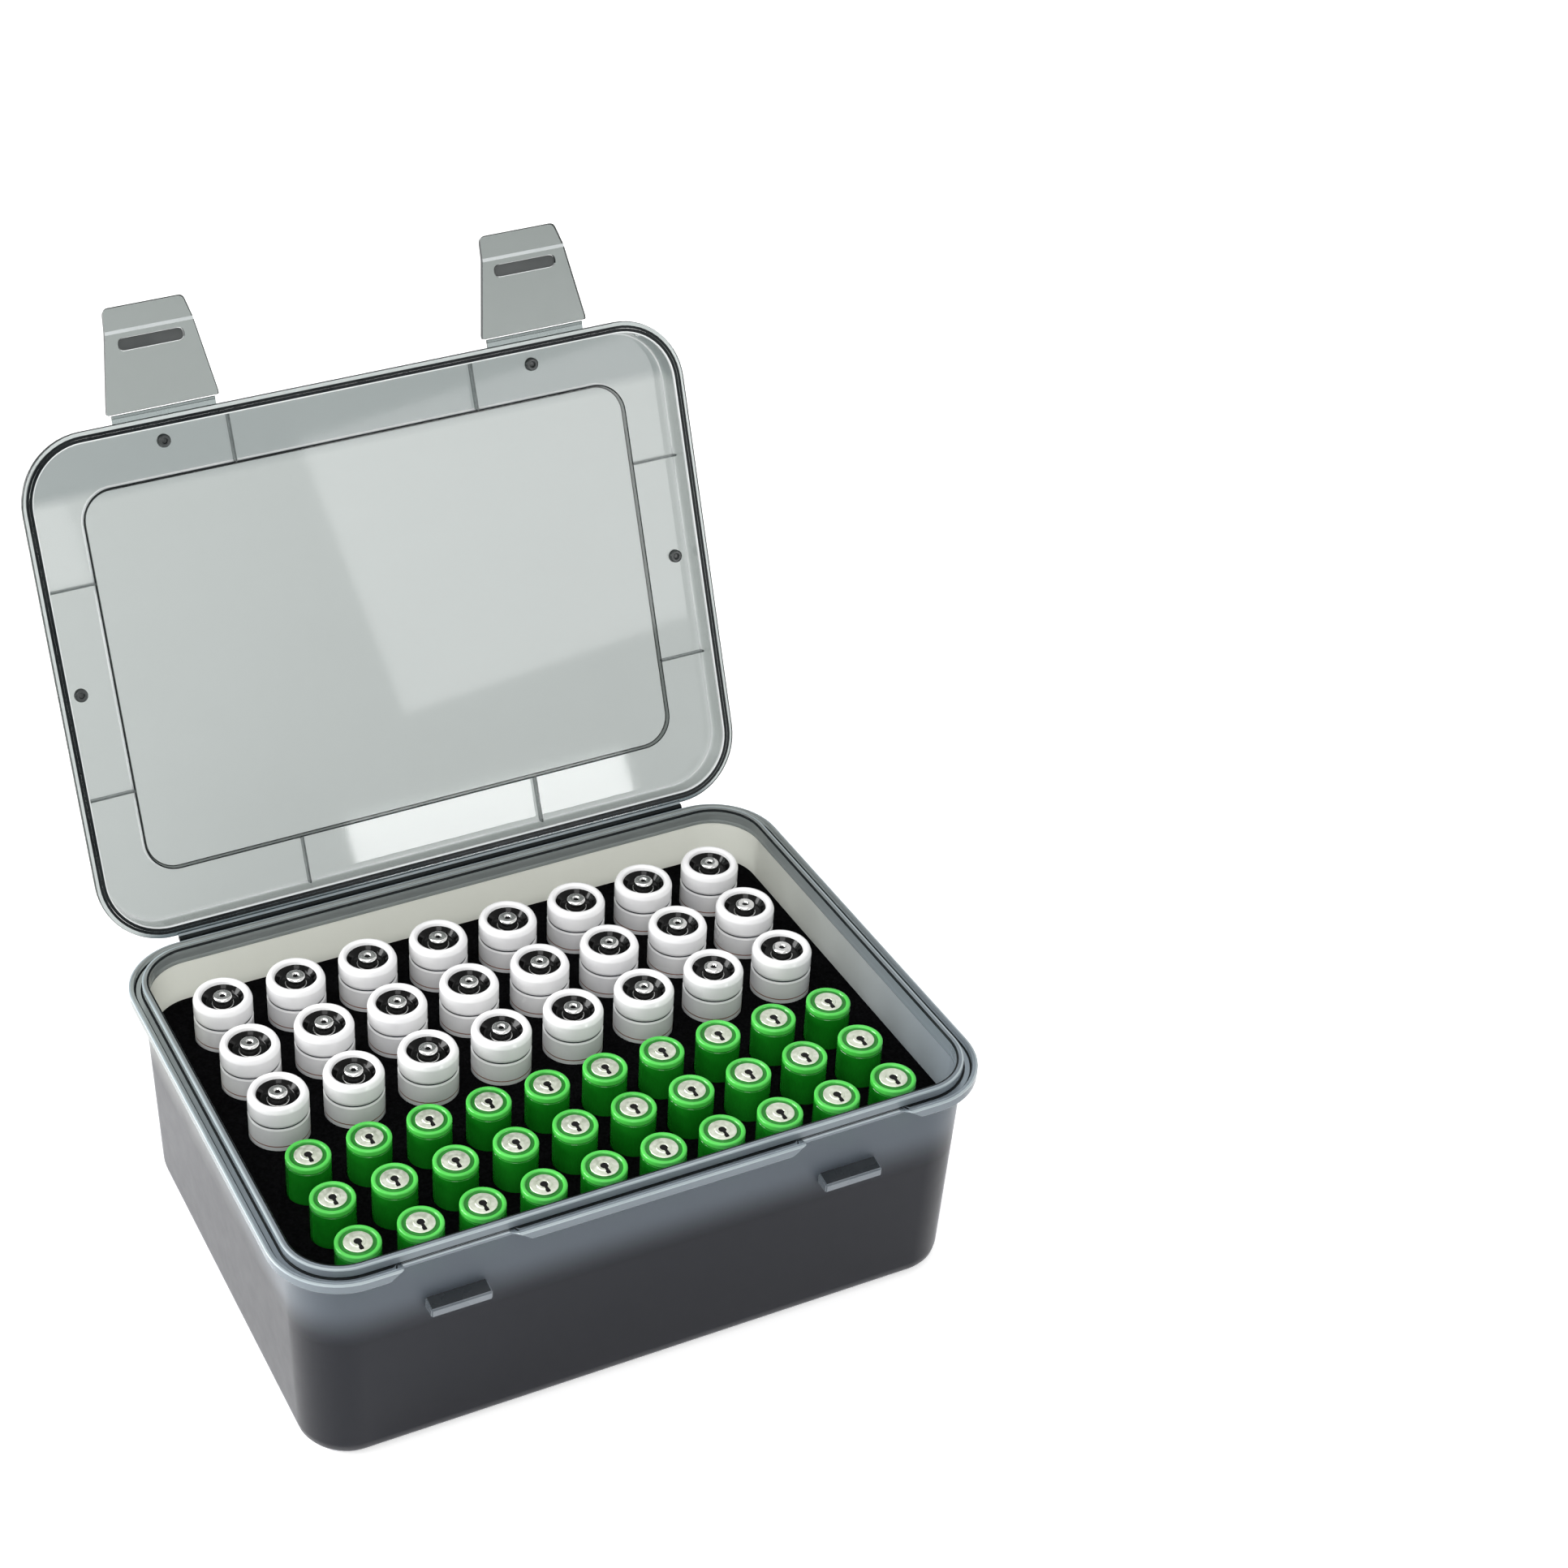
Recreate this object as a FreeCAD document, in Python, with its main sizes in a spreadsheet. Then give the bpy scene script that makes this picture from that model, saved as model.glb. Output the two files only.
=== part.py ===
import FreeCAD, Part
import math
import os

import Sketcher
from FreeCAD import Placement, Rotation, Vector

# Storage case for loose cells: a drafted tub with a stepped rim, a lid on a living hinge,
# two snap latches and a tray of bores. Millimetres and degrees, +Z up, +Y towards the hinge.
# The origin is the middle of the tub's underside. The lid is drawn shut in a frame of its
# own, whose X axis is the hinge line, and its Placement opens it.

SIZES = {
    # cells, and the webs of the tray between them
    "aa_diameter": 14.5,
    "aa_length": 50.5,
    "aa_columns": 8,
    "aa_rows": 3,
    "aa_web_x": 4.3,
    "aa_web_y": 4.4,
    "aaa_diameter": 10.5,
    "aaa_length": 44.5,
    "aaa_columns": 10,
    "aaa_rows": 3,
    "aaa_web_y": 4.5,
    "aaa_end_inset": 1.2,
    "row_gap": 8.9,

    # tray
    "tray_height": 40,
    "tray_fit": 0.15,
    "bore_clearance": 0.3,
    "aa_bore_floor": 1.5,
    "aaa_bore_floor": 6,

    # space left round the cells, which gives the case its outline and height
    "side_margin": 13.95,
    "back_margin": 14.35,
    "front_margin": 9.95,
    "headroom": 3,
    "case_corner": 17,

    # tub
    "draft_angle": 1.8,
    "lip_width": 1.6,
    "lip_rise": 1.4,
    "bead_width": 1.3,
    "gutter_width": 2,
    "gutter_depth": 1.2,
    "rim_height": 2.6,
    "floor_thickness": 1.8,
    "bottom_radius": 5,
    "rail_height": 3.2,
    "rail_width": 2,
    "rail_place_share": 0.3,
    "straight_end_gap": 1,

    # gaps in the front rim and the catches below them
    "latch_place_share": 0.279,
    "notch_inset": 1.5,
    "notch_ramp": 3.2,
    "catch_end_gap": 0.9,
    "catch_gap": 0.5,
    "catch_slope": 0.6,
    "catch_reach": 3.6,
    "catch_root": 1.3,

    # living hinge along the back
    "hinge_reach": 0.8,
    "hinge_radius": 0.6,
    "hinge_rise": 0.1,
    "hinge_web": 0.4,
    "lid_open_angle": 112,

    # lid
    "lid_gap": 0.1,
    "lid_flange_width": 1.8,
    "lid_flange_thickness": 1.6,
    "lid_height": 7.2,
    "lid_wall": 1.1,
    "lid_draft": 3,
    "lid_edge_radius": 2.2,
    "panel_inset": 15.1,
    "panel_corner": 8,
    "panel_step": 1.2,
    "panel_step_wall": 1.4,
    "rib_width": 0.7,
    "rib_height": 2,
    "rib_root": 0.4,
    "side_rib_share": 0.206,
    "end_rib_share": 0.184,
    "pip_radius": 1.6,
    "pip_height": 1.2,
    "pip_inset": 3.9,

    # latches
    "latch_neck": 1.5,
    "latch_neck_inset": 1,
    "latch_neck_radius": 0.45,
    "latch_neck_web": 0.5,
    "latch_start": 0.7,
    "latch_width": 28,
    "latch_taper": 4,
    "latch_shoulder": 1.6,
    "latch_thickness": 1.4,
    "latch_crease": 19.6,
    "latch_tip": 6,
    "latch_bend": 20,
    "latch_tilt": 4,
    "latch_tip_radius": 1.5,
    "latch_root_radius": 0.8,
    "slot_centre": 16.5,
    "slot_width": 16.4,
    "slot_height": 4.2,
    "slot_floor": 0.4,

    # how far cutting shapes run past the faces they cut
    "overrun": 2,
}

doc = FreeCAD.newDocument("CellCase")
sheet = doc.addObject("Spreadsheet::Sheet", "Sizes")
for row, (alias, number) in enumerate(SIZES.items(), start=1):
    sheet.set(f"A{row}", alias)
    sheet.set(f"B{row}", str(number))
    sheet.setAlias(f"B{row}", alias)
doc.recompute()

SAME_POINT = 1e-4

# Sizes derived from the sheet's cells, as expressions
AA_SPAN = "(Sizes.aa_columns * (Sizes.aa_diameter + Sizes.aa_web_x) - Sizes.aa_web_x)"
AA_DEPTH = "(Sizes.aa_rows * (Sizes.aa_diameter + Sizes.aa_web_y) - Sizes.aa_web_y)"
AAA_DEPTH = "(Sizes.aaa_rows * (Sizes.aaa_diameter + Sizes.aaa_web_y) - Sizes.aaa_web_y)"
CASE_WIDTH = f"({AA_SPAN} + 2 * Sizes.side_margin)"
CASE_DEPTH = f"({AA_DEPTH} + Sizes.row_gap + {AAA_DEPTH} + Sizes.front_margin + Sizes.back_margin)"
TRAY_UNDERSIDE = "(Sizes.floor_thickness + Sizes.rail_height)"
TRAY_TOP = f"({TRAY_UNDERSIDE} + Sizes.tray_height)"
BASE_HEIGHT = f"({TRAY_UNDERSIDE} + Sizes.aa_bore_floor + Sizes.aa_length + Sizes.headroom)"
BEAD_TOP = f"({BASE_HEIGHT} - Sizes.lip_rise)"
FLANGE_UNDERSIDE = f"({BEAD_TOP} - Sizes.rim_height)"
RIM_WIDTH = "(Sizes.bead_width + Sizes.gutter_width + Sizes.lip_width)"
LIP_OUTSET = "(Sizes.bead_width + Sizes.gutter_width)"
STRAIGHT_WIDTH = f"({CASE_WIDTH} - 2 * Sizes.case_corner - 2 * Sizes.straight_end_gap)"
STRAIGHT_DEPTH = f"({CASE_DEPTH} - 2 * Sizes.case_corner - 2 * Sizes.straight_end_gap)"
HINGE_Y = f"({CASE_DEPTH} / 2 + Sizes.hinge_reach)"
HINGE_Z = f"({BEAD_TOP} + Sizes.hinge_rise)"
LID_TOP = "(Sizes.lid_gap + Sizes.lid_height)"
LID_CEILING = f"({LID_TOP} - Sizes.lid_wall)"
LID_CENTRE_Y = f"(-{CASE_DEPTH} / 2 - Sizes.hinge_reach)"
CAVITY_INSET = "(Sizes.lid_flange_width + Sizes.lid_wall)"
LATCH_X = f"(Sizes.latch_place_share * {CASE_WIDTH})"
LATCH_REACH = f"(Sizes.hinge_reach + {CASE_DEPTH} + Sizes.latch_neck)"
LATCH_LEVEL = "(Sizes.lid_gap + Sizes.lid_flange_thickness / 2)"
NECK_WIDTH = "(Sizes.latch_width - 2 * Sizes.latch_neck_inset)"
CATCH_Z = f"({HINGE_Z} + {LATCH_LEVEL} - Sizes.slot_centre * cos(Sizes.latch_tilt * 1deg))"

# Distances between the cells of a kind, and the place of its row nearest the hinge
PITCH_X = {
    "aa": "(Sizes.aa_diameter + Sizes.aa_web_x)",
    "aaa": (f"(({AA_SPAN} - 2 * Sizes.aaa_end_inset - Sizes.aaa_diameter)"
            " / (Sizes.aaa_columns - 1))"),
}
PITCH_Y = {
    "aa": "(Sizes.aa_diameter + Sizes.aa_web_y)",
    "aaa": "(Sizes.aaa_diameter + Sizes.aaa_web_y)",
}
BACK_ROW_Y = {
    "aa": f"({CASE_DEPTH} / 2 - Sizes.back_margin - Sizes.aa_diameter / 2)",
    "aaa": (f"({CASE_DEPTH} / 2 - Sizes.back_margin - {AA_DEPTH} - Sizes.row_gap"
            " - Sizes.aaa_diameter / 2)"),
}


def evaluate(expression):
    """The number an expression of the sheet's cells stands for."""
    return float(sheet.evalExpression(expression))


def new_body(name):
    body = doc.addObject("PartDesign::Body", name)
    body.Label = name
    return body


def new_sketch(body, name, role, level="0", centre_y="0"):
    """A sketch on a plane of the body's own origin, moved along the plane's normal."""
    plane = next(item for item in body.Origin.OriginFeatures if item.Role == role)
    sketch = body.newObject("Sketcher::SketchObject", name)
    sketch.AttachmentSupport = [(plane, "")]
    sketch.MapMode = "FlatFace"
    sketch.setExpression("AttachmentOffset.Base.z", level)
    sketch.setExpression("AttachmentOffset.Base.y", centre_y)
    return sketch


def bind(sketch, constraint, expression):
    """Adds a dimension to the sketch and ties it to the sheet."""
    index = sketch.addConstraint(constraint)
    name = f"size{index}"
    sketch.renameConstraint(index, name)
    sketch.setExpression(f"Constraints.{name}", expression)


def place_point(sketch, geometry, end, x, y):
    """Holds a point of the sketch at the two expressions, seen from the sketch's origin."""
    for kind, axis, expression in (("DistanceX", -2, x), ("DistanceY", -1, y)):
        distance = evaluate(expression)
        if abs(distance) < SAME_POINT:
            sketch.addConstraint(Sketcher.Constraint("PointOnObject", geometry, end, axis))
        else:
            bind(sketch, Sketcher.Constraint(kind, -1, 1, geometry, end, distance), expression)


def add_polygon(sketch, corners):
    """A closed outline of straight lines through corners given as pairs of expressions."""
    first = sketch.GeometryCount
    points = [Vector(evaluate(x), evaluate(y), 0) for x, y in corners]
    count = len(points)
    for index in range(count):
        line = Part.LineSegment(points[index], points[(index + 1) % count])
        sketch.addGeometry(line, False)
    for index in range(count):
        following = first + (index + 1) % count
        sketch.addConstraint(Sketcher.Constraint("Coincident", first + index, 2, following, 1))
    for index, (x, y) in enumerate(corners):
        place_point(sketch, first + index, 1, x, y)


def add_box_outline(sketch, x, y, width, depth):
    """A rectangle whose middle lies at x, y."""
    left = f"{x} - {width} / 2"
    right = f"{x} + {width} / 2"
    near = f"{y} - {depth} / 2"
    far = f"{y} + {depth} / 2"
    add_polygon(sketch, [(left, near), (right, near), (right, far), (left, far)])


def add_circle(sketch, x, y, radius):
    centre = Vector(evaluate(x), evaluate(y), 0)
    circle = sketch.addGeometry(Part.Circle(centre, Vector(0, 0, 1), evaluate(radius)), False)
    place_point(sketch, circle, 3, x, y)
    bind(sketch, Sketcher.Constraint("Radius", circle, evaluate(radius)), radius)


def add_slot_outline(sketch, y, width, height):
    """A slot with round ends, centred on the sketch's Y axis at the height y."""
    radius = evaluate(f"{height} / 2")
    middle = evaluate(y)
    reach = evaluate(f"{width} / 2 - {height} / 2")
    first = sketch.GeometryCount
    for end, turn in ((reach, -1), (-reach, 1)):
        circle = Part.Circle(Vector(end, middle, 0), Vector(0, 0, 1), radius)
        start_angle = turn * math.pi / 2
        sketch.addGeometry(Part.ArcOfCircle(circle, start_angle, start_angle + math.pi), False)
    for side in (1, -1):
        start = Vector(side * reach, middle + side * radius, 0)
        finish = Vector(-side * reach, middle + side * radius, 0)
        sketch.addGeometry(Part.LineSegment(start, finish), False)
    right, left, upper, lower = range(first, first + 4)
    for before, after in ((right, upper), (upper, left), (left, lower), (lower, right)):
        sketch.addConstraint(Sketcher.Constraint("Tangent", before, 2, after, 1))
    place_point(sketch, right, 3, f"{width} / 2 - {height} / 2", y)
    place_point(sketch, left, 3, f"-({width} / 2 - {height} / 2)", y)
    bind(sketch, Sketcher.Constraint("Radius", right, radius), f"{height} / 2")


def add_rounded_outline(sketch, inset, radius):
    """The case's outline moved inwards by inset, with corners of the given radius."""
    half_width = evaluate(f"{CASE_WIDTH} / 2 - {inset}")
    half_depth = evaluate(f"{CASE_DEPTH} / 2 - {inset}")
    corner = evaluate(radius)
    x = half_width - corner
    y = half_depth - corner
    lines = [
        ((-x, -half_depth), (x, -half_depth)),
        ((half_width, -y), (half_width, y)),
        ((x, half_depth), (-x, half_depth)),
        ((-half_width, y), (-half_width, -y)),
    ]
    centres = [(x, -y), (x, y), (-x, y), (-x, -y)]
    first = sketch.GeometryCount
    for start, finish in lines:
        sketch.addGeometry(Part.LineSegment(Vector(*start, 0), Vector(*finish, 0)), False)
    for turn, centre in enumerate(centres):
        circle = Part.Circle(Vector(*centre, 0), Vector(0, 0, 1), corner)
        start_angle = (turn - 1) * math.pi / 2
        sketch.addGeometry(Part.ArcOfCircle(circle, start_angle, start_angle + math.pi / 2), False)

    for side in range(4):
        line = first + side
        arc = first + 4 + side
        following = first + (side + 1) % 4
        sketch.addConstraint(Sketcher.Constraint("Tangent", line, 2, arc, 1))
        sketch.addConstraint(Sketcher.Constraint("Tangent", arc, 2, following, 1))
        direction = "Horizontal" if side % 2 == 0 else "Vertical"
        sketch.addConstraint(Sketcher.Constraint(direction, line))
    for side in range(1, 4):
        sketch.addConstraint(Sketcher.Constraint("Equal", first + 4, first + 4 + side))

    near_right = first + 4
    far_left = first + 6
    sketch.addConstraint(Sketcher.Constraint("Symmetric", near_right, 3, far_left, 3, -1, 1))
    bind(sketch, Sketcher.Constraint("Radius", near_right, corner), radius)
    span_x = Sketcher.Constraint("DistanceX", far_left, 3, near_right, 3, 2 * x)
    bind(sketch, span_x, f"{CASE_WIDTH} - 2 * {inset} - 2 * {radius}")
    span_y = Sketcher.Constraint("DistanceY", near_right, 3, far_left, 3, 2 * y)
    bind(sketch, span_y, f"{CASE_DEPTH} - 2 * {inset} - 2 * {radius}")


def pad(body, sketch, length, down=False, both_ways=False, taper="0"):
    """Adds material on the sketch. A positive taper widens the pad away from the sketch."""
    feature = body.newObject("PartDesign::Pad", f"{sketch.Name}_pad")
    feature.Profile = sketch
    feature.Reversed = down
    feature.Midplane = both_ways
    feature.setExpression("Length", length)
    feature.setExpression("TaperAngle", taper)
    sketch.Visibility = False
    doc.recompute()
    return feature


def pocket(body, sketch, length, up=False, both_ways=False, taper="0"):
    """Cuts the sketch out of the body, and fails if nothing was cut."""
    before = body.Shape.Volume
    feature = body.newObject("PartDesign::Pocket", f"{sketch.Name}_cut")
    feature.Profile = sketch
    feature.Reversed = up
    feature.Midplane = both_ways
    feature.setExpression("Length", length)
    feature.setExpression("TaperAngle", taper)
    sketch.Visibility = False
    doc.recompute()
    if not feature.Shape.Volume < before:
        raise RuntimeError(f"{feature.Name} cuts nothing")
    return feature


def fillet(body, feature, radius, belongs):
    """Rounds those edges of the feature that pass the test."""
    edges = feature.Shape.Edges
    names = [f"Edge{number}" for number, edge in enumerate(edges, start=1) if belongs(edge)]
    rounding = body.newObject("PartDesign::Fillet", f"{feature.Name}_round")
    rounding.Base = (feature, names)
    rounding.setExpression("Radius", radius)
    doc.recompute()
    return rounding


def lies_at(level):
    """A test for edges that lie wholly at one height."""
    height = evaluate(level)

    def belongs(edge):
        box = edge.BoundBox
        return abs(box.ZMin - height) < SAME_POINT and abs(box.ZMax - height) < SAME_POINT

    return belongs


def open_with_lid(piece):
    """Swings a piece drawn in the lid's frame to the angle at which the lid stands open."""
    piece.Placement = Placement(Vector(), Rotation(Vector(1, 0, 0), -SIZES["lid_open_angle"]))
    piece.setExpression("Placement.Rotation.Angle", "-Sizes.lid_open_angle")
    piece.setExpression("Placement.Base.y", HINGE_Y)
    piece.setExpression("Placement.Base.z", HINGE_Z)


# Tub with its rim, latch gaps, catches and the rails the tray stands on
def make_base_shell():
    body = new_body("base_shell")
    lip_corner = f"(Sizes.case_corner - {LIP_OUTSET})"

    tub = new_sketch(body, "tub", "XY_Plane", FLANGE_UNDERSIDE)
    add_rounded_outline(tub, LIP_OUTSET, lip_corner)
    tub_pad = pad(body, tub, FLANGE_UNDERSIDE, down=True, taper="-Sizes.draft_angle")
    fillet(body, tub_pad, "Sizes.bottom_radius", lies_at("0"))

    lip = new_sketch(body, "lip", "XY_Plane", FLANGE_UNDERSIDE)
    add_rounded_outline(lip, LIP_OUTSET, lip_corner)
    pad(body, lip, f"{BASE_HEIGHT} - {FLANGE_UNDERSIDE}")

    rim = new_sketch(body, "rim", "XY_Plane", FLANGE_UNDERSIDE)
    add_rounded_outline(rim, "0", "Sizes.case_corner")
    pad(body, rim, "Sizes.rim_height")

    gutter = new_sketch(body, "gutter", "XY_Plane", BEAD_TOP)
    add_rounded_outline(gutter, "Sizes.bead_width", "(Sizes.case_corner - Sizes.bead_width)")
    add_rounded_outline(gutter, LIP_OUTSET, lip_corner)
    pocket(body, gutter, "Sizes.gutter_depth")

    cavity = new_sketch(body, "cavity", "XY_Plane", BASE_HEIGHT)
    add_rounded_outline(cavity, RIM_WIDTH, f"(Sizes.case_corner - {RIM_WIDTH})")
    cavity_depth = f"{BASE_HEIGHT} - Sizes.floor_thickness"
    pocket(body, cavity, cavity_depth, taper="-Sizes.draft_angle")

    rails = new_sketch(body, "rails", "XY_Plane", TRAY_UNDERSIDE)
    for side in ("-", ""):
        x = f"{side}Sizes.rail_place_share * {CASE_WIDTH}"
        add_box_outline(rails, x, "0", "Sizes.rail_width", STRAIGHT_DEPTH)
    pad(body, rails, f"{TRAY_UNDERSIDE} - Sizes.floor_thickness / 2", down=True)

    cut_latch_gaps(body)
    for name, side in (("left", "-"), ("right", "")):
        add_catch(body, name, side)
    return body


def cut_latch_gaps(body):
    """Opens the front rim at each latch, with ends that slope outwards towards the underside."""
    gaps = new_sketch(body, "latch_gaps", "XZ_Plane", f"{CASE_DEPTH} / 2 + Sizes.overrun")
    top = f"({BEAD_TOP} + Sizes.overrun)"
    foot = FLANGE_UNDERSIDE
    for side in ("-", ""):
        middle = f"{side}{LATCH_X}"
        narrow = "(Sizes.latch_width / 2 - Sizes.notch_inset)"
        wide = f"({narrow} + Sizes.notch_ramp)"
        corners = [
            (f"{middle} - {wide}", foot),
            (f"{middle} + {wide}", foot),
            (f"{middle} + {narrow}", BEAD_TOP),
            (f"{middle} + {narrow}", top),
            (f"{middle} - {narrow}", top),
            (f"{middle} - {narrow}", BEAD_TOP),
        ]
        add_polygon(gaps, corners)
    pocket(body, gaps, f"{LIP_OUTSET} + Sizes.overrun")


def add_catch(body, name, side):
    """The wedge on the front wall that the blind slot of the latch snaps over."""
    catch = new_sketch(body, f"catch_{name}", "YZ_Plane", f"{side}{LATCH_X}")
    wall = f"(-{CASE_DEPTH} / 2 + {LIP_OUTSET})"
    root = f"({wall} + Sizes.catch_root)"
    tip = f"({wall} - Sizes.catch_reach)"
    half_height = "(Sizes.slot_height / 2 - Sizes.catch_gap)"
    top = f"({CATCH_Z} + {half_height})"
    foot = f"({CATCH_Z} - {half_height})"
    corners = [
        (root, foot),
        (tip, foot),
        (tip, f"{top} - Sizes.catch_slope"),
        (root, top),
    ]
    add_polygon(catch, corners)
    pad(body, catch, "Sizes.slot_width - 2 * Sizes.catch_end_gap", both_ways=True)


# Thin strip at the back of the rim on which the lid bends
def make_hinge_strip():
    bead = doc.addObject("Part::Cylinder", "hinge_strip_bead")
    bead.Placement = Placement(Vector(), Rotation(Vector(0, 1, 0), 90))
    bead.setExpression("Radius", "Sizes.hinge_radius")
    bead.setExpression("Height", STRAIGHT_WIDTH)
    bead.setExpression("Placement.Base.x", f"-{STRAIGHT_WIDTH} / 2")
    bead.setExpression("Placement.Base.y", HINGE_Y)
    bead.setExpression("Placement.Base.z", HINGE_Z)

    web = doc.addObject("Part::Box", "hinge_strip_web")
    web.setExpression("Length", STRAIGHT_WIDTH)
    web.setExpression("Width", "Sizes.hinge_reach")
    web.setExpression("Height", "Sizes.hinge_web")
    web.setExpression("Placement.Base.x", f"-{STRAIGHT_WIDTH} / 2")
    web.setExpression("Placement.Base.y", f"{CASE_DEPTH} / 2")
    web.setExpression("Placement.Base.z", f"{BEAD_TOP} - Sizes.hinge_web")

    strip = doc.addObject("Part::MultiFuse", "hinge_strip")
    strip.Shapes = [bead, web]
    return strip


# Lid, drawn shut
def make_lid_shell():
    body = new_body("lid_shell")

    flange = new_sketch(body, "lid_flange", "XY_Plane", "Sizes.lid_gap", LID_CENTRE_Y)
    add_rounded_outline(flange, "0", "Sizes.case_corner")
    pad(body, flange, "Sizes.lid_flange_thickness")

    wall = new_sketch(body, "lid_wall", "XY_Plane", "Sizes.lid_gap", LID_CENTRE_Y)
    wall_corner = "(Sizes.case_corner - Sizes.lid_flange_width)"
    add_rounded_outline(wall, "Sizes.lid_flange_width", wall_corner)
    wall_pad = pad(body, wall, "Sizes.lid_height", taper="-Sizes.lid_draft")
    fillet(body, wall_pad, "Sizes.lid_edge_radius", lies_at(LID_TOP))

    cavity = new_sketch(body, "lid_cavity", "XY_Plane", "Sizes.lid_gap", LID_CENTRE_Y)
    add_rounded_outline(cavity, CAVITY_INSET, f"(Sizes.case_corner - {CAVITY_INSET})")
    cavity_depth = "Sizes.lid_height - Sizes.lid_wall"
    pocket(body, cavity, cavity_depth, up=True, taper="-Sizes.lid_draft")

    inner_panel = new_sketch(body, "inner_panel", "XY_Plane", LID_CEILING, LID_CENTRE_Y)
    add_rounded_outline(inner_panel, "Sizes.panel_inset", "Sizes.panel_corner")
    pad(body, inner_panel, "Sizes.panel_step", down=True)

    outer_panel = new_sketch(body, "outer_panel", "XY_Plane", LID_TOP, LID_CENTRE_Y)
    outer_inset = "(Sizes.panel_inset + Sizes.panel_step_wall)"
    outer_corner = "(Sizes.panel_corner - Sizes.panel_step_wall)"
    add_rounded_outline(outer_panel, outer_inset, outer_corner)
    pocket(body, outer_panel, "Sizes.panel_step")

    add_lid_ribs(body)
    add_lid_pips(body)
    open_with_lid(body)
    return body


def add_lid_ribs(body):
    """Eight low ribs that tie the sunk panel to the wall inside the lid."""
    ribs = new_sketch(body, "lid_ribs", "XY_Plane", LID_CEILING, LID_CENTRE_Y)
    length = f"(Sizes.panel_inset - {CAVITY_INSET} + 2 * Sizes.rib_root)"
    inset = f"(Sizes.panel_inset + {CAVITY_INSET}) / 2"
    for side in ("-", ""):
        for end in ("-", ""):
            side_x = f"{side}({CASE_WIDTH} / 2 - {inset})"
            side_y = f"{end}Sizes.side_rib_share * {CASE_DEPTH}"
            add_box_outline(ribs, side_x, side_y, length, "Sizes.rib_width")
            end_x = f"{side}Sizes.end_rib_share * {CASE_WIDTH}"
            end_y = f"{end}({CASE_DEPTH} / 2 - {inset})"
            add_box_outline(ribs, end_x, end_y, "Sizes.rib_width", length)
    pad(body, ribs, "Sizes.rib_height", down=True)


def add_lid_pips(body):
    """Four small round pips inside the lid, two at the front and one at each side."""
    pips = new_sketch(body, "lid_pips", "XY_Plane", LID_CEILING, LID_CENTRE_Y)
    inset = f"({CAVITY_INSET} + Sizes.pip_inset)"
    for side in ("-", ""):
        front = f"-{CASE_DEPTH} / 2 + {inset}"
        add_circle(pips, f"{side}{LATCH_X}", front, "Sizes.pip_radius")
        add_circle(pips, f"{side}({CASE_WIDTH} / 2 - {inset})", "0", "Sizes.pip_radius")
    pad(body, pips, "Sizes.pip_height", down=True)


# Thin neck between the lid's front edge and a latch
def make_latch_hinge(name, side):
    node = f"latch_hinge_{name}"
    left = f"{side}{LATCH_X} - {NECK_WIDTH} / 2"

    bead = doc.addObject("Part::Cylinder", f"{node}_bead")
    bead.Placement = Placement(Vector(), Rotation(Vector(0, 1, 0), 90))
    bead.setExpression("Radius", "Sizes.latch_neck_radius")
    bead.setExpression("Height", NECK_WIDTH)
    bead.setExpression("Placement.Base.x", left)
    bead.setExpression("Placement.Base.y", f"-{LATCH_REACH}")
    bead.setExpression("Placement.Base.z", LATCH_LEVEL)

    web = doc.addObject("Part::Box", f"{node}_web")
    web.setExpression("Length", NECK_WIDTH)
    web.setExpression("Width", "Sizes.latch_neck")
    web.setExpression("Height", "Sizes.latch_neck_web")
    web.setExpression("Placement.Base.x", left)
    web.setExpression("Placement.Base.y", f"-{LATCH_REACH}")
    web.setExpression("Placement.Base.z", f"{LATCH_LEVEL} - Sizes.latch_neck_web / 2")

    neck = doc.addObject("Part::MultiFuse", node)
    neck.Shapes = [bead, web]
    open_with_lid(neck)
    return neck


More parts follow.
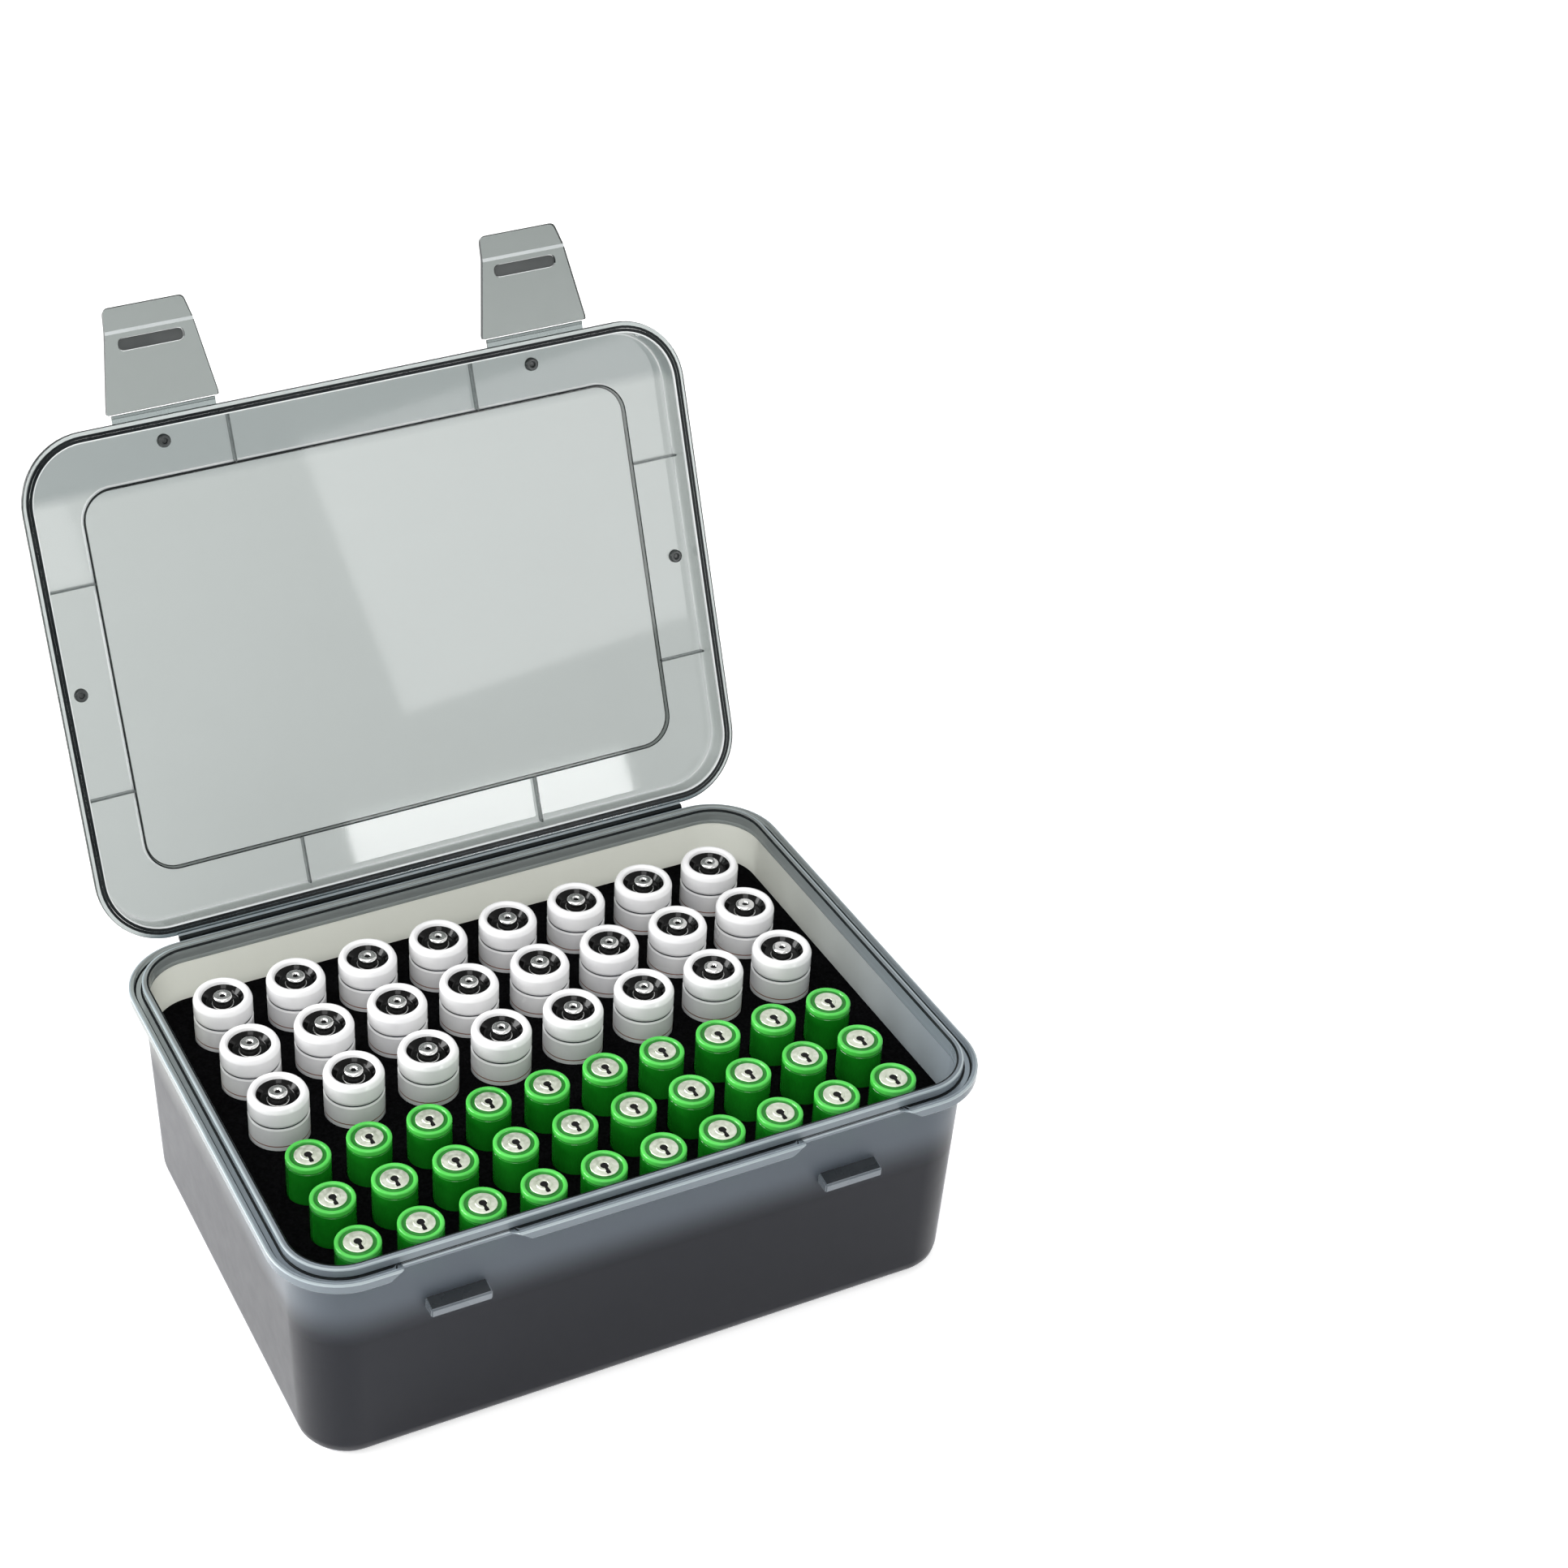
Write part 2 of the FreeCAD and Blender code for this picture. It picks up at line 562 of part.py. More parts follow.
# Latch flap, drawn level with its neck at the origin and its tip towards -Y
def make_latch(name, side):
    body = new_body(f"latch_{name}")
    half = "Sizes.latch_thickness / 2"
    tip_run = "Sizes.latch_tip * cos(Sizes.latch_bend * 1deg)"
    tip_rise = "Sizes.latch_tip * sin(Sizes.latch_bend * 1deg)"
    bend_offset = "Sizes.latch_thickness * tan(Sizes.latch_bend / 2 * 1deg)"
    edge_run = "Sizes.latch_thickness * sin(Sizes.latch_bend * 1deg)"
    edge_rise = "Sizes.latch_thickness * cos(Sizes.latch_bend * 1deg)"
    tip_y = f"(-Sizes.latch_crease - {tip_run})"

    profile = new_sketch(body, f"latch_{name}_profile", "YZ_Plane")
    corners = [
        ("-Sizes.latch_start", f"-{half}"),
        ("-Sizes.latch_crease", f"-{half}"),
        (tip_y, f"-{half} + {tip_rise}"),
        (f"{tip_y} + {edge_run}", f"-{half} + {tip_rise} + {edge_rise}"),
        (f"-Sizes.latch_crease + {bend_offset}", half),
        ("-Sizes.latch_start", half),
    ]
    add_polygon(profile, corners)
    pad(body, profile, "Sizes.latch_width", both_ways=True)

    slot = new_sketch(body, f"latch_{name}_slot", "XY_Plane", f"-{half}")
    add_slot_outline(slot, "-Sizes.slot_centre", "Sizes.slot_width", "Sizes.slot_height")
    pocket(body, slot, "Sizes.latch_thickness - Sizes.slot_floor", up=True)

    flanks = new_sketch(body, f"latch_{name}_flanks", "XY_Plane")
    for hand in ("-", ""):
        outside = f"{hand}(Sizes.latch_width / 2 + Sizes.overrun)"
        tip_x = f"{hand}(Sizes.latch_width / 2 - Sizes.latch_taper)"
        corners = [
            (f"{hand}Sizes.latch_width / 2", "-Sizes.latch_shoulder"),
            (tip_x, tip_y),
            (tip_x, f"{tip_y} - Sizes.overrun"),
            (outside, f"{tip_y} - Sizes.overrun"),
            (outside, "-Sizes.latch_shoulder"),
        ]
        add_polygon(flanks, corners)
    cut_height = "2 * (Sizes.latch_tip + Sizes.overrun)"
    flanks_cut = pocket(body, flanks, cut_height, both_ways=True)

    tip_edges = fillet(body, flanks_cut, "Sizes.latch_tip_radius", crosses_at(tip_y, edge_run))
    fillet(body, tip_edges, "Sizes.latch_root_radius", crosses_at("-Sizes.latch_start", "0"))

    body.Placement = Placement(Vector(), Rotation(Vector(1, 0, 0), -SIZES["lid_open_angle"]))
    body.setExpression("Placement.Rotation.Angle", "-Sizes.lid_open_angle")
    angle = "Sizes.lid_open_angle * 1deg"
    y = f"{HINGE_Y} - {LATCH_REACH} * cos({angle}) + {LATCH_LEVEL} * sin({angle})"
    z = f"{HINGE_Z} + {LATCH_REACH} * sin({angle}) + {LATCH_LEVEL} * cos({angle})"
    body.setExpression("Placement.Base.x", f"{side}{LATCH_X}")
    body.setExpression("Placement.Base.y", y)
    body.setExpression("Placement.Base.z", z)
    return body


def crosses_at(y, run):
    """A test for edges across the latch's thickness that lie between y and y plus run."""
    near = evaluate(y) - SAME_POINT
    far = evaluate(f"{y} + {run}") + SAME_POINT

    def belongs(edge):
        box = edge.BoundBox
        return near < box.YMin and box.YMax < far and box.XLength < box.ZLength

    return belongs


# Black block that holds the cells upright
def make_cell_tray():
    body = new_body("cell_tray")
    inset = (f"({RIM_WIDTH} + Sizes.tray_fit"
             f" + ({BASE_HEIGHT} - {TRAY_TOP}) * tan(Sizes.draft_angle * 1deg))")
    block = new_sketch(body, "block", "XY_Plane", TRAY_TOP)
    add_rounded_outline(block, inset, f"(Sizes.case_corner - {inset})")
    pad(body, block, "Sizes.tray_height", down=True, taper="-Sizes.draft_angle")
    for kind in ("aa", "aaa"):
        cut_bores(body, kind)
    return body


def cut_bores(body, kind):
    """One bore at the back left, repeated over the columns and rows of its kind of cell."""
    bore = new_sketch(body, f"{kind}_bore", "XY_Plane", TRAY_TOP)
    width = f"(Sizes.{kind}_columns - 1) * {PITCH_X[kind]}"
    depth = f"(Sizes.{kind}_rows - 1) * {PITCH_Y[kind]}"
    radius = f"Sizes.{kind}_diameter / 2 + Sizes.bore_clearance"
    add_circle(bore, f"-({width}) / 2", BACK_ROW_Y[kind], radius)
    first_bore = pocket(body, bore, f"Sizes.tray_height - Sizes.{kind}_bore_floor")

    grid = body.newObject("PartDesign::MultiTransform", f"{kind}_bores")
    grid.Originals = [first_bore]
    columns = doc.addObject("PartDesign::LinearPattern", f"{kind}_bore_columns")
    columns.Direction = (bore, ["H_Axis"])
    columns.setExpression("Length", width)
    columns.setExpression("Occurrences", f"Sizes.{kind}_columns")
    rows = doc.addObject("PartDesign::LinearPattern", f"{kind}_bore_rows")
    rows.Direction = (bore, ["V_Axis"])
    rows.Reversed = True
    rows.setExpression("Length", depth)
    rows.setExpression("Occurrences", f"Sizes.{kind}_rows")
    grid.Transformations = [columns, rows]
    body.Tip = grid
    doc.recompute()


# One row of loose cells standing in the tray
def make_cell_row(kind, name, row):
    node = f"{kind}_row_{name}"
    cells = []
    for column in range(SIZES[f"{kind}_columns"]):
        cell = doc.addObject("Part::Cylinder", f"{node}_cell_{column + 1}")
        cell.setExpression("Radius", f"Sizes.{kind}_diameter / 2")
        cell.setExpression("Height", f"Sizes.{kind}_length")
        steps = f"({column} - (Sizes.{kind}_columns - 1) / 2)"
        cell.setExpression("Placement.Base.x", f"{steps} * {PITCH_X[kind]}")
        cell.setExpression("Placement.Base.y", f"{BACK_ROW_Y[kind]} - {row} * {PITCH_Y[kind]}")
        cell.setExpression("Placement.Base.z", f"{TRAY_UNDERSIDE} + Sizes.{kind}_bore_floor")
        cells.append(cell)
    group = doc.addObject("Part::Compound", node)
    group.Links = cells
    return group


nodes = [make_base_shell(), make_hinge_strip(), make_lid_shell(), make_cell_tray()]
for name, side in (("left", "-"), ("right", "")):
    nodes.append(make_latch_hinge(name, side))
    nodes.append(make_latch(name, side))
for kind in ("aa", "aaa"):
    for row, name in enumerate(("back", "middle", "front")):
        nodes.append(make_cell_row(kind, name, row))

doc.recompute()
for item in doc.Objects:
    if "Invalid" in item.State or "Error" in item.State:
        raise RuntimeError(f"{item.Name}: {item.State}")
for node in nodes:
    if node.Shape.isNull() or not node.Shape.isValid():
        raise RuntimeError(f"{node.Name} has no valid shape")

os.makedirs("parts", exist_ok=True)
for node in nodes:
    node.Shape.exportStep(f"parts/{node.Label}.step")
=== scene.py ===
import math

import bmesh
import bpy
from mathutils import Matrix, Quaternion, Vector


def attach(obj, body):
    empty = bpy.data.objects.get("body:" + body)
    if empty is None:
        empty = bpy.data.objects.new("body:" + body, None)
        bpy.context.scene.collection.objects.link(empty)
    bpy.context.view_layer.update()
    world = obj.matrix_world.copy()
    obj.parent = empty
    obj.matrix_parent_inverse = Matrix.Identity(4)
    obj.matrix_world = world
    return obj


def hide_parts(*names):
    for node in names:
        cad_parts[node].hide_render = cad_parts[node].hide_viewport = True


# Smoke-grey storage case with an open lid, two snap latches and a black tray of loose cells.
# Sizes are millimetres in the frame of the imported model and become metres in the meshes.
MM = 0.001

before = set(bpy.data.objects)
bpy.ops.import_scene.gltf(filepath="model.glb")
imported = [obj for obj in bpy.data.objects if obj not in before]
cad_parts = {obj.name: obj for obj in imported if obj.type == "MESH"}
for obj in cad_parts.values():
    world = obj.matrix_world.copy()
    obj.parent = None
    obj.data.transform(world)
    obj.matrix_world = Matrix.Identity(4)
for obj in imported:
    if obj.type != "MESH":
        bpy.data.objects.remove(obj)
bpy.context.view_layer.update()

# Mesh making
CORNER_STEPS = 14
ROUNDING_STEPS = 4
BEVEL_STEPS = 2
LONGEST_ROUNDING_SHARE = 0.48
SMALLEST_CORNER = 0.05
SAME_POINT = 0.001
AXIS_RADIUS = 0.01
SHELL_SHARP_ANGLE = math.radians(50)
CELL_SHARP_ANGLE = math.radians(40)
LATCH_SHARP_ANGLE = math.radians(25)

# Case, seen from above
CASE_WIDTH = 174
CASE_DEPTH = 126
CASE_CORNER = 17
EDGE_RADIUS = 0.4

# Tub
BASE_HEIGHT = 60
FLOOR_LEVEL = 1.8
DRAFT = math.tan(math.radians(1.8))
CAP_INSET = 14
TUB_FOOT_RADIUS = 5
TUB_FLOOR_RADIUS = 3
RAIL_X = 52.2
RAIL_WIDTH = 2
RAIL_LENGTH = 90
RAIL_EMBED = 0.4
RAIL_ROUNDING = 0.3
TRAY_UNDERSIDE = 5

# Rim: a bead round the outside, a gutter, and a lip that stands up round the mouth
RIM_WIDTH = 4.9
RIM_FOOT = 55.8
# Width of the bands of painted shade and painted edge light on the rim
RIM_LINE = 0.45
OVERLAP = 0.05
FLANGE_FOOT = 56
FLANGE_ROOT_RADIUS = 0.2
BEAD_TOP = 58.6
BEAD_WIDTH = 1.3
GUTTER_LEVEL = 57.4
GUTTER_RADIUS = 0.25
LIP_OUTSET = 3.3
LINED_EDGE_RADIUS = 0.3

# Gaps in the front of the rim, and the catches below them
LATCH_X = 48.546
GAP_HALF_TOP = 12.5
GAP_HALF_FOOT = 15.7
GAP_END_RUN = 1.1
GAP_END_STEPS = 6
GAP_FALL_MARGIN = 0.4
CATCH_WIDTH = 14.6
CATCH_REACH = 3.6
CATCH_TOP = 44.74
CATCH_FOOT = 41.54
CATCH_SLOPE = 0.9
CATCH_EMBED = 0.5
CATCH_ROUNDING = 0.35
# Height below a catch's top within which faces get painted shade
CATCH_TOP_BAND = 0.2

# Lid, drawn shut in a frame of its own with the hinge line as its X axis
HINGE = Vector((0, 63.8, 58.7))
OPEN_ANGLE = math.radians(-112)
LID_CENTRE_Y = -63.8
LID_UNDERSIDE = 0.1
LID_TOP = 7.3
LID_TOP_RADIUS = 2.2
LID_CEILING = 6.2
CEILING_RADIUS = 0.6
LID_WALL = 1.1
LID_DRAFT = math.tan(math.radians(3))
LID_CAP_INSET = 26
PANEL_STEP = 1.2
PANEL_INSET = 15.1
PANEL_STEP_WALL = 0.6
PANEL_CORNER = 23.1
# Width of the bands of painted shade and painted highlight along the lid's edges
EDGE_LINE = 0.35

# Flange of the lid, and the thin web between it and the hinge strip
LID_FLANGE_WIDTH = 1.8
FLANGE_TOP = 1.7
FLANGE_EDGE_RADIUS = 0.6
# Width of the band of painted shade under the flange
FLANGE_LINE = 0.7
HINGE_WEB_HALF_LENGTH = 69
HINGE_WEB_NEAR = 0.45
HINGE_WEB_FAR = 1.5
HINGE_WEB_FOOT = 0.12
HINGE_WEB_TOP = 0.47
HINGE_WEB_ROUNDING = 0.08

# Ribs and pips under the lid
RIB_WIDTH = 0.5
RIB_HEIGHT = 2
RIB_ROUNDING = 0.2
RIB_CEILING_EMBED = 0.2
RIB_PANEL_EMBED = 0.3
RIB_WALL_GAP = 0.1
SIDE_RIB_Y = 26
END_RIB_X = 32
PIP_RADIUS = 1.6
PIP_HEIGHT = 1.2
PIP_INSET = 3.9
PIP_EMBED = 0.1
PIP_SIDES = 24
DIMPLE_RADIUS = 0.72
DIMPLE_FLOOR_RADIUS = 0.64
DIMPLE_DEPTH = 0.7

# Latches, drawn level with the neck at the origin and the tip towards -Y
LATCH_PLACE = Vector((LATCH_X, 112.696, 177.318))
LATCH_START = 0.7
LATCH_HALF_WIDTH = 14
LATCH_TIP_HALF_WIDTH = 10
LATCH_SHOULDER = 1.6
LATCH_LENGTH = 25.6
LATCH_THICKNESS = 1.4
LATCH_EDGE_ROUNDING = 0.22
LATCH_ROOT_RADIUS = 0.8
LATCH_SHOULDER_RADIUS = 0.5
LATCH_TIP_RADIUS = 1.5
LATCH_CREASE = 19.6
LATCH_CREASE_RUN = 0.3
LATCH_BEND = math.radians(-20)
SLOT_CENTRE = 16.5
SLOT_HALF_WIDTH = 8.2
SLOT_HALF_HEIGHT = 1.6
SLOT_FLOOR = 0.4
# A thin sheet of painted shade on the slot's floor
SHADE_SHEET_INSET = 0.15
SHADE_SHEET_DROP = 0.02
SHADE_SHEET_THICKNESS = 0.35

# Rows of cells
CELL_SIDES = 48
AA_COLUMNS = 8
AA_PITCH_X = 18.8
AA_ROWS_Y = {"back": 41.4, "middle": 22.5, "front": 3.6}
AAA_COLUMNS = 10
AAA_PITCH_X = 14.8
AAA_ROWS_Y = {"back": -17.8, "middle": -32.8, "front": -47.8}

# AA cell, with depths measured down from its top
AA_TOP = 57
AA_LENGTH = 50.5
AA_RADIUS = 7.25
AA_END_RADIUS = 5.6
AA_END_SEAM_RADIUS = 6
AA_END_SEAM_RISE = 0.3
AA_SLEEVE_END_RADIUS = 6.9
AA_SLEEVE_END_RISE = 1
AA_LINE_DEPTHS = (11.2, 10.9)
AA_GROOVE_DEPTHS = (6.3, 5.9, 5.5, 4.9)
AA_GROOVE_CUT = 0.3
AA_SHOULDER_DEPTH = 1.4
AA_CROWN_OUTER_RADIUS = 6.7
AA_CROWN_OUTER_DEPTH = 0.2
AA_CROWN_RADIUS = 5.9
AA_CROWN_INNER_RADIUS = 5.3
AA_CROWN_INNER_DEPTH = 0.4
AA_DISH_RADIUS = 5.1
AA_DISH_DEPTH = 1.2
AA_DISH_FLOOR_RADIUS = 4
AA_DISH_FLOOR_DEPTH = 2.7
AA_BUTTON_FOOT_RADIUS = 2.5
AA_BUTTON_RADIUS = 2.3
AA_BUTTON_DEPTH = 0.2
AA_DOT_RADIUS = 0.9
AA_DOT_FLOOR_RADIUS = 0.6
AA_DOT_DEPTH = 0.6

# AAA cell, with depths measured down from its top
AAA_TOP = 55.5
AAA_LENGTH = 44.5
AAA_RADIUS = 5.25
AAA_END_RADIUS = 4
AAA_END_SEAM_RADIUS = 4.3
AAA_END_SEAM_RISE = 0.3
AAA_SLEEVE_END_RADIUS = 5
AAA_SLEEVE_END_RISE = 0.9
AAA_GROOVE_DEPTHS = (1.9, 1.75, 1.55, 1.4)
AAA_GROOVE_CUT = 0.12
AAA_COLLAR_DEPTH = 0.1
AAA_COLLAR_INNER_RADIUS = 4.35
AAA_RING_OUTER_RADIUS = 4.15
AAA_RING_INNER_RADIUS = 3.3
AAA_RING_DEPTH = 0.5
AAA_CAP_RADIUS = 3.25
AAA_CAP_INNER_RADIUS = 1.75
AAA_CAP_DEPTH = 0.15
AAA_BUTTON_FOOT_RADIUS = 1.65
AAA_BUTTON_RADIUS = 0.95
AAA_DOT_RADIUS = 0.9
AAA_DOT_DEPTH = 0.25
VENT_HALF_WIDTH = 0.5
VENT_FAR = 2.6
VENT_NEAR = 0.2
VENT_DEPTH = 0.5
VENT_PROUD = 0.03
VENT_ROUNDING = 0.12

# Places in the open case between which a plastic's painted shade, painted tint or painted glow changes
LATCH_EDGE_SHADE_Z = (157, 161)
HINGE_SHADE_Z = (59, 63)
RIM_BLUE_Y = (-60, 60)
TUB_GLOW_Y = (-85, 70)
TUB_GLOW_Z = (36, 48)

# Plastics and noise
PLASTIC_IOR = 1.45
RIM_IOR = 1.3
PLAIN_SPECULAR = 0.5
CLEAR_TINT = (0.97, 0.98, 0.98)
FLANGE_TINT = (0.72, 0.75, 0.75)
LID_SMOKE = (0.07, 0.12, 0.10)
TUB_SMOKE = (0.16, 0.14, 0.02)
NOISE_COLOUR_ENDS = (0.35, 0.65)
NOISE_ROUGHNESS_ENDS = (0.3, 0.7)
FILM_ROUGHNESS_SHARES = (0.8, 1.3)
METAL_ROUGHNESS_SHARES = (0.7, 1.4)

# Stage and camera, with places in metres
FLOOR_HALF = 6
FLOOR_GLOW = 0.45
WORLD_GLOW = 0.7
CAMERA_LENS = 65.37
CAMERA_SENSOR = 36
CAMERA_SHIFT = (0.2471, -0.0389)
CAMERA_NEAR = 0.01
CAMERA_FAR = 50
CAMERA_PLACE = (-0.2234, -0.4685, 0.4917)
CAMERA_TURN = math.radians(-21.827)
CAMERA_TILT = math.radians(33.895)
CAMERA_ROLL = math.radians(-1.276)


# Mesh helpers
def new_piece(name, points, faces, face_materials, place=Matrix.Identity(4)):
    """A smooth-shaded object from points in millimetres, with a material given for each face."""
    mesh = bpy.data.meshes.new(name)
    mesh.from_pydata([place @ Vector(point) * MM for point in points], [], faces)
    materials = list(dict.fromkeys(face_materials))
    for material in materials:
        mesh.materials.append(material)
    for polygon, material in zip(mesh.polygons, face_materials):
        polygon.material_index = materials.index(material)
        polygon.use_smooth = True
    shaper = bmesh.new()
    shaper.from_mesh(mesh)
    bmesh.ops.remove_doubles(shaper, verts=shaper.verts, dist=SAME_POINT * MM)
    bmesh.ops.recalc_face_normals(shaper, faces=shaper.faces)
    shaper.to_mesh(mesh)
    shaper.free()
    piece = bpy.data.objects.new(name, mesh)
    bpy.context.scene.collection.objects.link(piece)
    return piece


def finish_shading(piece, sharp_angle):
    """Keeps flat faces flat, and creases crisp from the sharp angle on."""
    piece.data.set_sharp_from_angle(angle=sharp_angle)
    weights = piece.modifiers.new("even_shading", "WEIGHTED_NORMAL")
    weights.keep_sharp = True


def round_corners(corners):
    """Rounds the corners of an open profile, each (out, up, radius, *tags), into (out, up, *tags)."""
    points = []
    for index, (out, up, radius, *tags) in enumerate(corners):
        here = Vector((out, up))
        if radius == 0 or index in (0, len(corners) - 1):
            points.append((out, up, *tags))
            continue
        before = Vector(corners[index - 1][:2]) - here
        after = Vector(corners[index + 1][:2]) - here
        longest = LONGEST_ROUNDING_SHARE * min(before.length, after.length)
        reach = min(radius / math.tan(before.angle(after) / 2), longest)
        start = here + before.normalized() * reach
        finish = here + after.normalized() * reach
        for step in range(ROUNDING_STEPS + 1):
            share = step / ROUNDING_STEPS
            point = start.lerp(here, share).lerp(here.lerp(finish, share), share)
            points.append((point.x, point.y, *tags))
    return points


def corner_stations():
    """Directions round the outline: the signs of each corner's centre and an angle about it."""
    stations = []
    for sign_x, sign_y, first in ((1, -1, -90), (1, 1, 0), (-1, 1, 90), (-1, -1, 180)):
        for step in range(CORNER_STEPS + 1):
            angle = math.radians(first + 90 * step / CORNER_STEPS)
            stations.append((sign_x, sign_y, angle))
    return stations


def outline_point(station, inset, corner, centre_y=0):
    """A point of the case's outline moved inwards by inset, where the corner radius shrinks with it."""
    sign_x, sign_y, angle = station
    radius = max(corner - inset, SMALLEST_CORNER)
    x = sign_x * (CASE_WIDTH / 2 - inset - radius) + radius * math.cos(angle)
    y = sign_y * (CASE_DEPTH / 2 - inset - radius) + radius * math.sin(angle)
    return x, y + centre_y


def sweep(rings, materials, capped=True):
    """Points, faces and face materials of a skin over rings of equal length.

    The faces after each ring have that ring's material. If capped, the two ends are closed.
    """
    count = len(rings[0])
    points = [point for ring in rings for point in ring]
    faces = []
    face_materials = []
    for level in range(len(rings) - 1):
        for index in range(count):
            following = (index + 1) % count
            low, high = level * count, (level + 1) * count
            faces.append((low + index, low + following, high + following, high + index))
            face_materials.append(materials[level])
    if capped:
        faces.append(tuple(range(count)))
        faces.append(tuple(range(len(points) - count, len(points))))
        face_materials.extend((materials[0], materials[-1]))
    return points, faces, face_materials


def add_part(target, part):
    """Adds the points, faces and face materials of a part to those of a target."""
    points, faces, face_materials = target
    more_points, more_faces, more_materials = part
    first = len(points)
    points.extend(more_points)
    faces.extend(tuple(index + first for index in face) for face in more_faces)
    face_materials.extend(more_materials)


def lathe(profile, x, y, sides):
    """A turned form about a vertical axis. Each profile point is (radius, height, material)."""
    rings = []
    for radius, z, _ in profile:
        ring = []
        for side in range(sides):
            angle = 2 * math.pi * side / sides
            ring.append((x + radius * math.cos(angle), y + radius * math.sin(angle), z))
        rings.append(ring)
    return sweep(rings, [material for _, _, material in profile])


def mesh_part(shaper, face_materials):
    """The points and faces of a bmesh, which is then freed, with the materials of its faces."""
    shaper.verts.index_update()
    points = [tuple(vertex.co) for vertex in shaper.verts]
    faces = [tuple(vertex.index for vertex in face.verts) for face in shaper.faces]
    shaper.free()
    return points, faces, face_materials


def soft_box(low, high, radius, material):
    """A block with rounded edges."""
    shaper = bmesh.new()
    bmesh.ops.create_cube(shaper, size=1)
    for vertex in shaper.verts:
        vertex.co = Vector(low).lerp(Vector(high), 0.5) + Vector(
            (vertex.co[axis] * (high[axis] - low[axis]) for axis in range(3)))
    bmesh.ops.bevel(shaper, geom=shaper.edges[:], offset=radius, segments=BEVEL_STEPS, affect="EDGES")
    return mesh_part(shaper, [material] * len(shaper.faces))


# Materials
def shader_of(material):
    return material.node_tree.nodes["Principled BSDF"]


def new_material(name, colour, roughness, specular=PLAIN_SPECULAR):
    material = bpy.data.materials.new(name)
    material.use_nodes = True
    shader = shader_of(material)
    shader.inputs["Base Color"].default_value = (*colour, 1)
    shader.inputs["Roughness"].default_value = roughness
    shader.inputs["Specular IOR Level"].default_value = specular
    return material


def add_noise(material, scale, detail):
    """A noise pattern fixed to the object, in metres."""
    nodes, links = material.node_tree.nodes, material.node_tree.links
    place = nodes.new("ShaderNodeTexCoord")
    noise = nodes.new("ShaderNodeTexNoise")
    noise.inputs["Scale"].default_value = scale
    noise.inputs["Detail"].default_value = detail
    links.new(place.outputs["Object"], noise.inputs["Vector"])
    return noise


def set_colour(material, colour):
    """Links a colour from other nodes to the surface."""
    material.node_tree.links.new(colour, shader_of(material).inputs["Base Color"])


def vary_colour(material, noise, dark, light):
    """Lets the noise move the colour between a dark and a light one."""
    ramp = material.node_tree.nodes.new("ShaderNodeValToRGB")
    for end, position, colour in zip(ramp.color_ramp.elements, NOISE_COLOUR_ENDS, (dark, light)):
        end.position = position
        end.color = (*colour, 1)
    material.node_tree.links.new(noise.outputs["Fac"], ramp.inputs["Fac"])
    set_colour(material, ramp.outputs["Color"])


def vary_roughness(material, noise, low, high):
    """Lets the noise move the roughness between two values."""
    nodes, links = material.node_tree.nodes, material.node_tree.links
    spread = nodes.new("ShaderNodeMapRange")
    spread.inputs["From Min"].default_value = NOISE_ROUGHNESS_ENDS[0]
    spread.inputs["From Max"].default_value = NOISE_ROUGHNESS_ENDS[1]
    spread.inputs["To Min"].default_value = low
    spread.inputs["To Max"].default_value = high
    links.new(noise.outputs["Fac"], spread.inputs["Value"])
    links.new(spread.outputs["Result"], shader_of(material).inputs["Roughness"])


def add_bump(material, noise, strength, distance):
    nodes, links = material.node_tree.nodes, material.node_tree.links
    bump = nodes.new("ShaderNodeBump")
    bump.inputs["Strength"].default_value = strength
    bump.inputs["Distance"].default_value = distance
    links.new(noise.outputs["Fac"], bump.inputs["Height"])
    links.new(bump.outputs["Normal"], shader_of(material).inputs["Normal"])


def smoke_plastic(name, tint, roughness, density, smoke, clear_share=1, ior=PLASTIC_IOR):
    """See-through plastic that darkens with the length of plastic looked through."""
    low, high = roughness
    material = new_material(name, tint, low)
    shader = shader_of(material)
    shader.inputs["Transmission Weight"].default_value = clear_share
    shader.inputs["IOR"].default_value = ior
    vary_roughness(material, add_noise(material, scale=260, detail=3), low, high)
    nodes, links = material.node_tree.nodes, material.node_tree.links
    absorption = nodes.new("ShaderNodeVolumeAbsorption")
    absorption.inputs["Color"].default_value = (*smoke, 1)
    absorption.inputs["Density"].default_value = density
    links.new(absorption.outputs["Volume"], nodes["Material Output"].inputs["Volume"])
    return material


def place_share(material, axis, ends):
    """A share that rises from 0 to 1 between two places along an axis."""
    nodes, links = material.node_tree.nodes, material.node_tree.links
    place = nodes.new("ShaderNodeTexCoord")
    split = nodes.new("ShaderNodeSeparateXYZ")
    spread = nodes.new("ShaderNodeMapRange")
    spread.interpolation_type = "SMOOTHSTEP"
    spread.inputs["From Min"].default_value = ends[0] * MM
    spread.inputs["From Max"].default_value = ends[1] * MM
    links.new(place.outputs["Object"], split.inputs["Vector"])
    links.new(split.outputs[axis], spread.inputs["Value"])
    return spread.outputs["Result"]


def blend_colours(material, share, first, second):
    """A colour between two colours or linked colours, by a share from 0 to 1."""
    nodes, links = material.node_tree.nodes, material.node_tree.links
    blend = nodes.new("ShaderNodeMix")
    blend.data_type = "RGBA"
    links.new(share, blend.inputs["Factor"])
    for name, colour in (("A", first), ("B", second)):
        if isinstance(colour, tuple):
            blend.inputs[name].default_value = (*colour, 1)
        else:
            links.new(colour, blend.inputs[name])
    return blend.outputs["Result"]


def lid_plastic():
    """Clear smoke plastic, deepened in tone by painted shade along the edge with the latches."""
    material = smoke_plastic("smoke_lid", CLEAR_TINT, (0.03, 0.04), 1080, LID_SMOKE)
    share = place_share(material, "Z", LATCH_EDGE_SHADE_Z)
    set_colour(material, blend_colours(material, share, CLEAR_TINT, (0.66, 0.69, 0.70)))
    return material


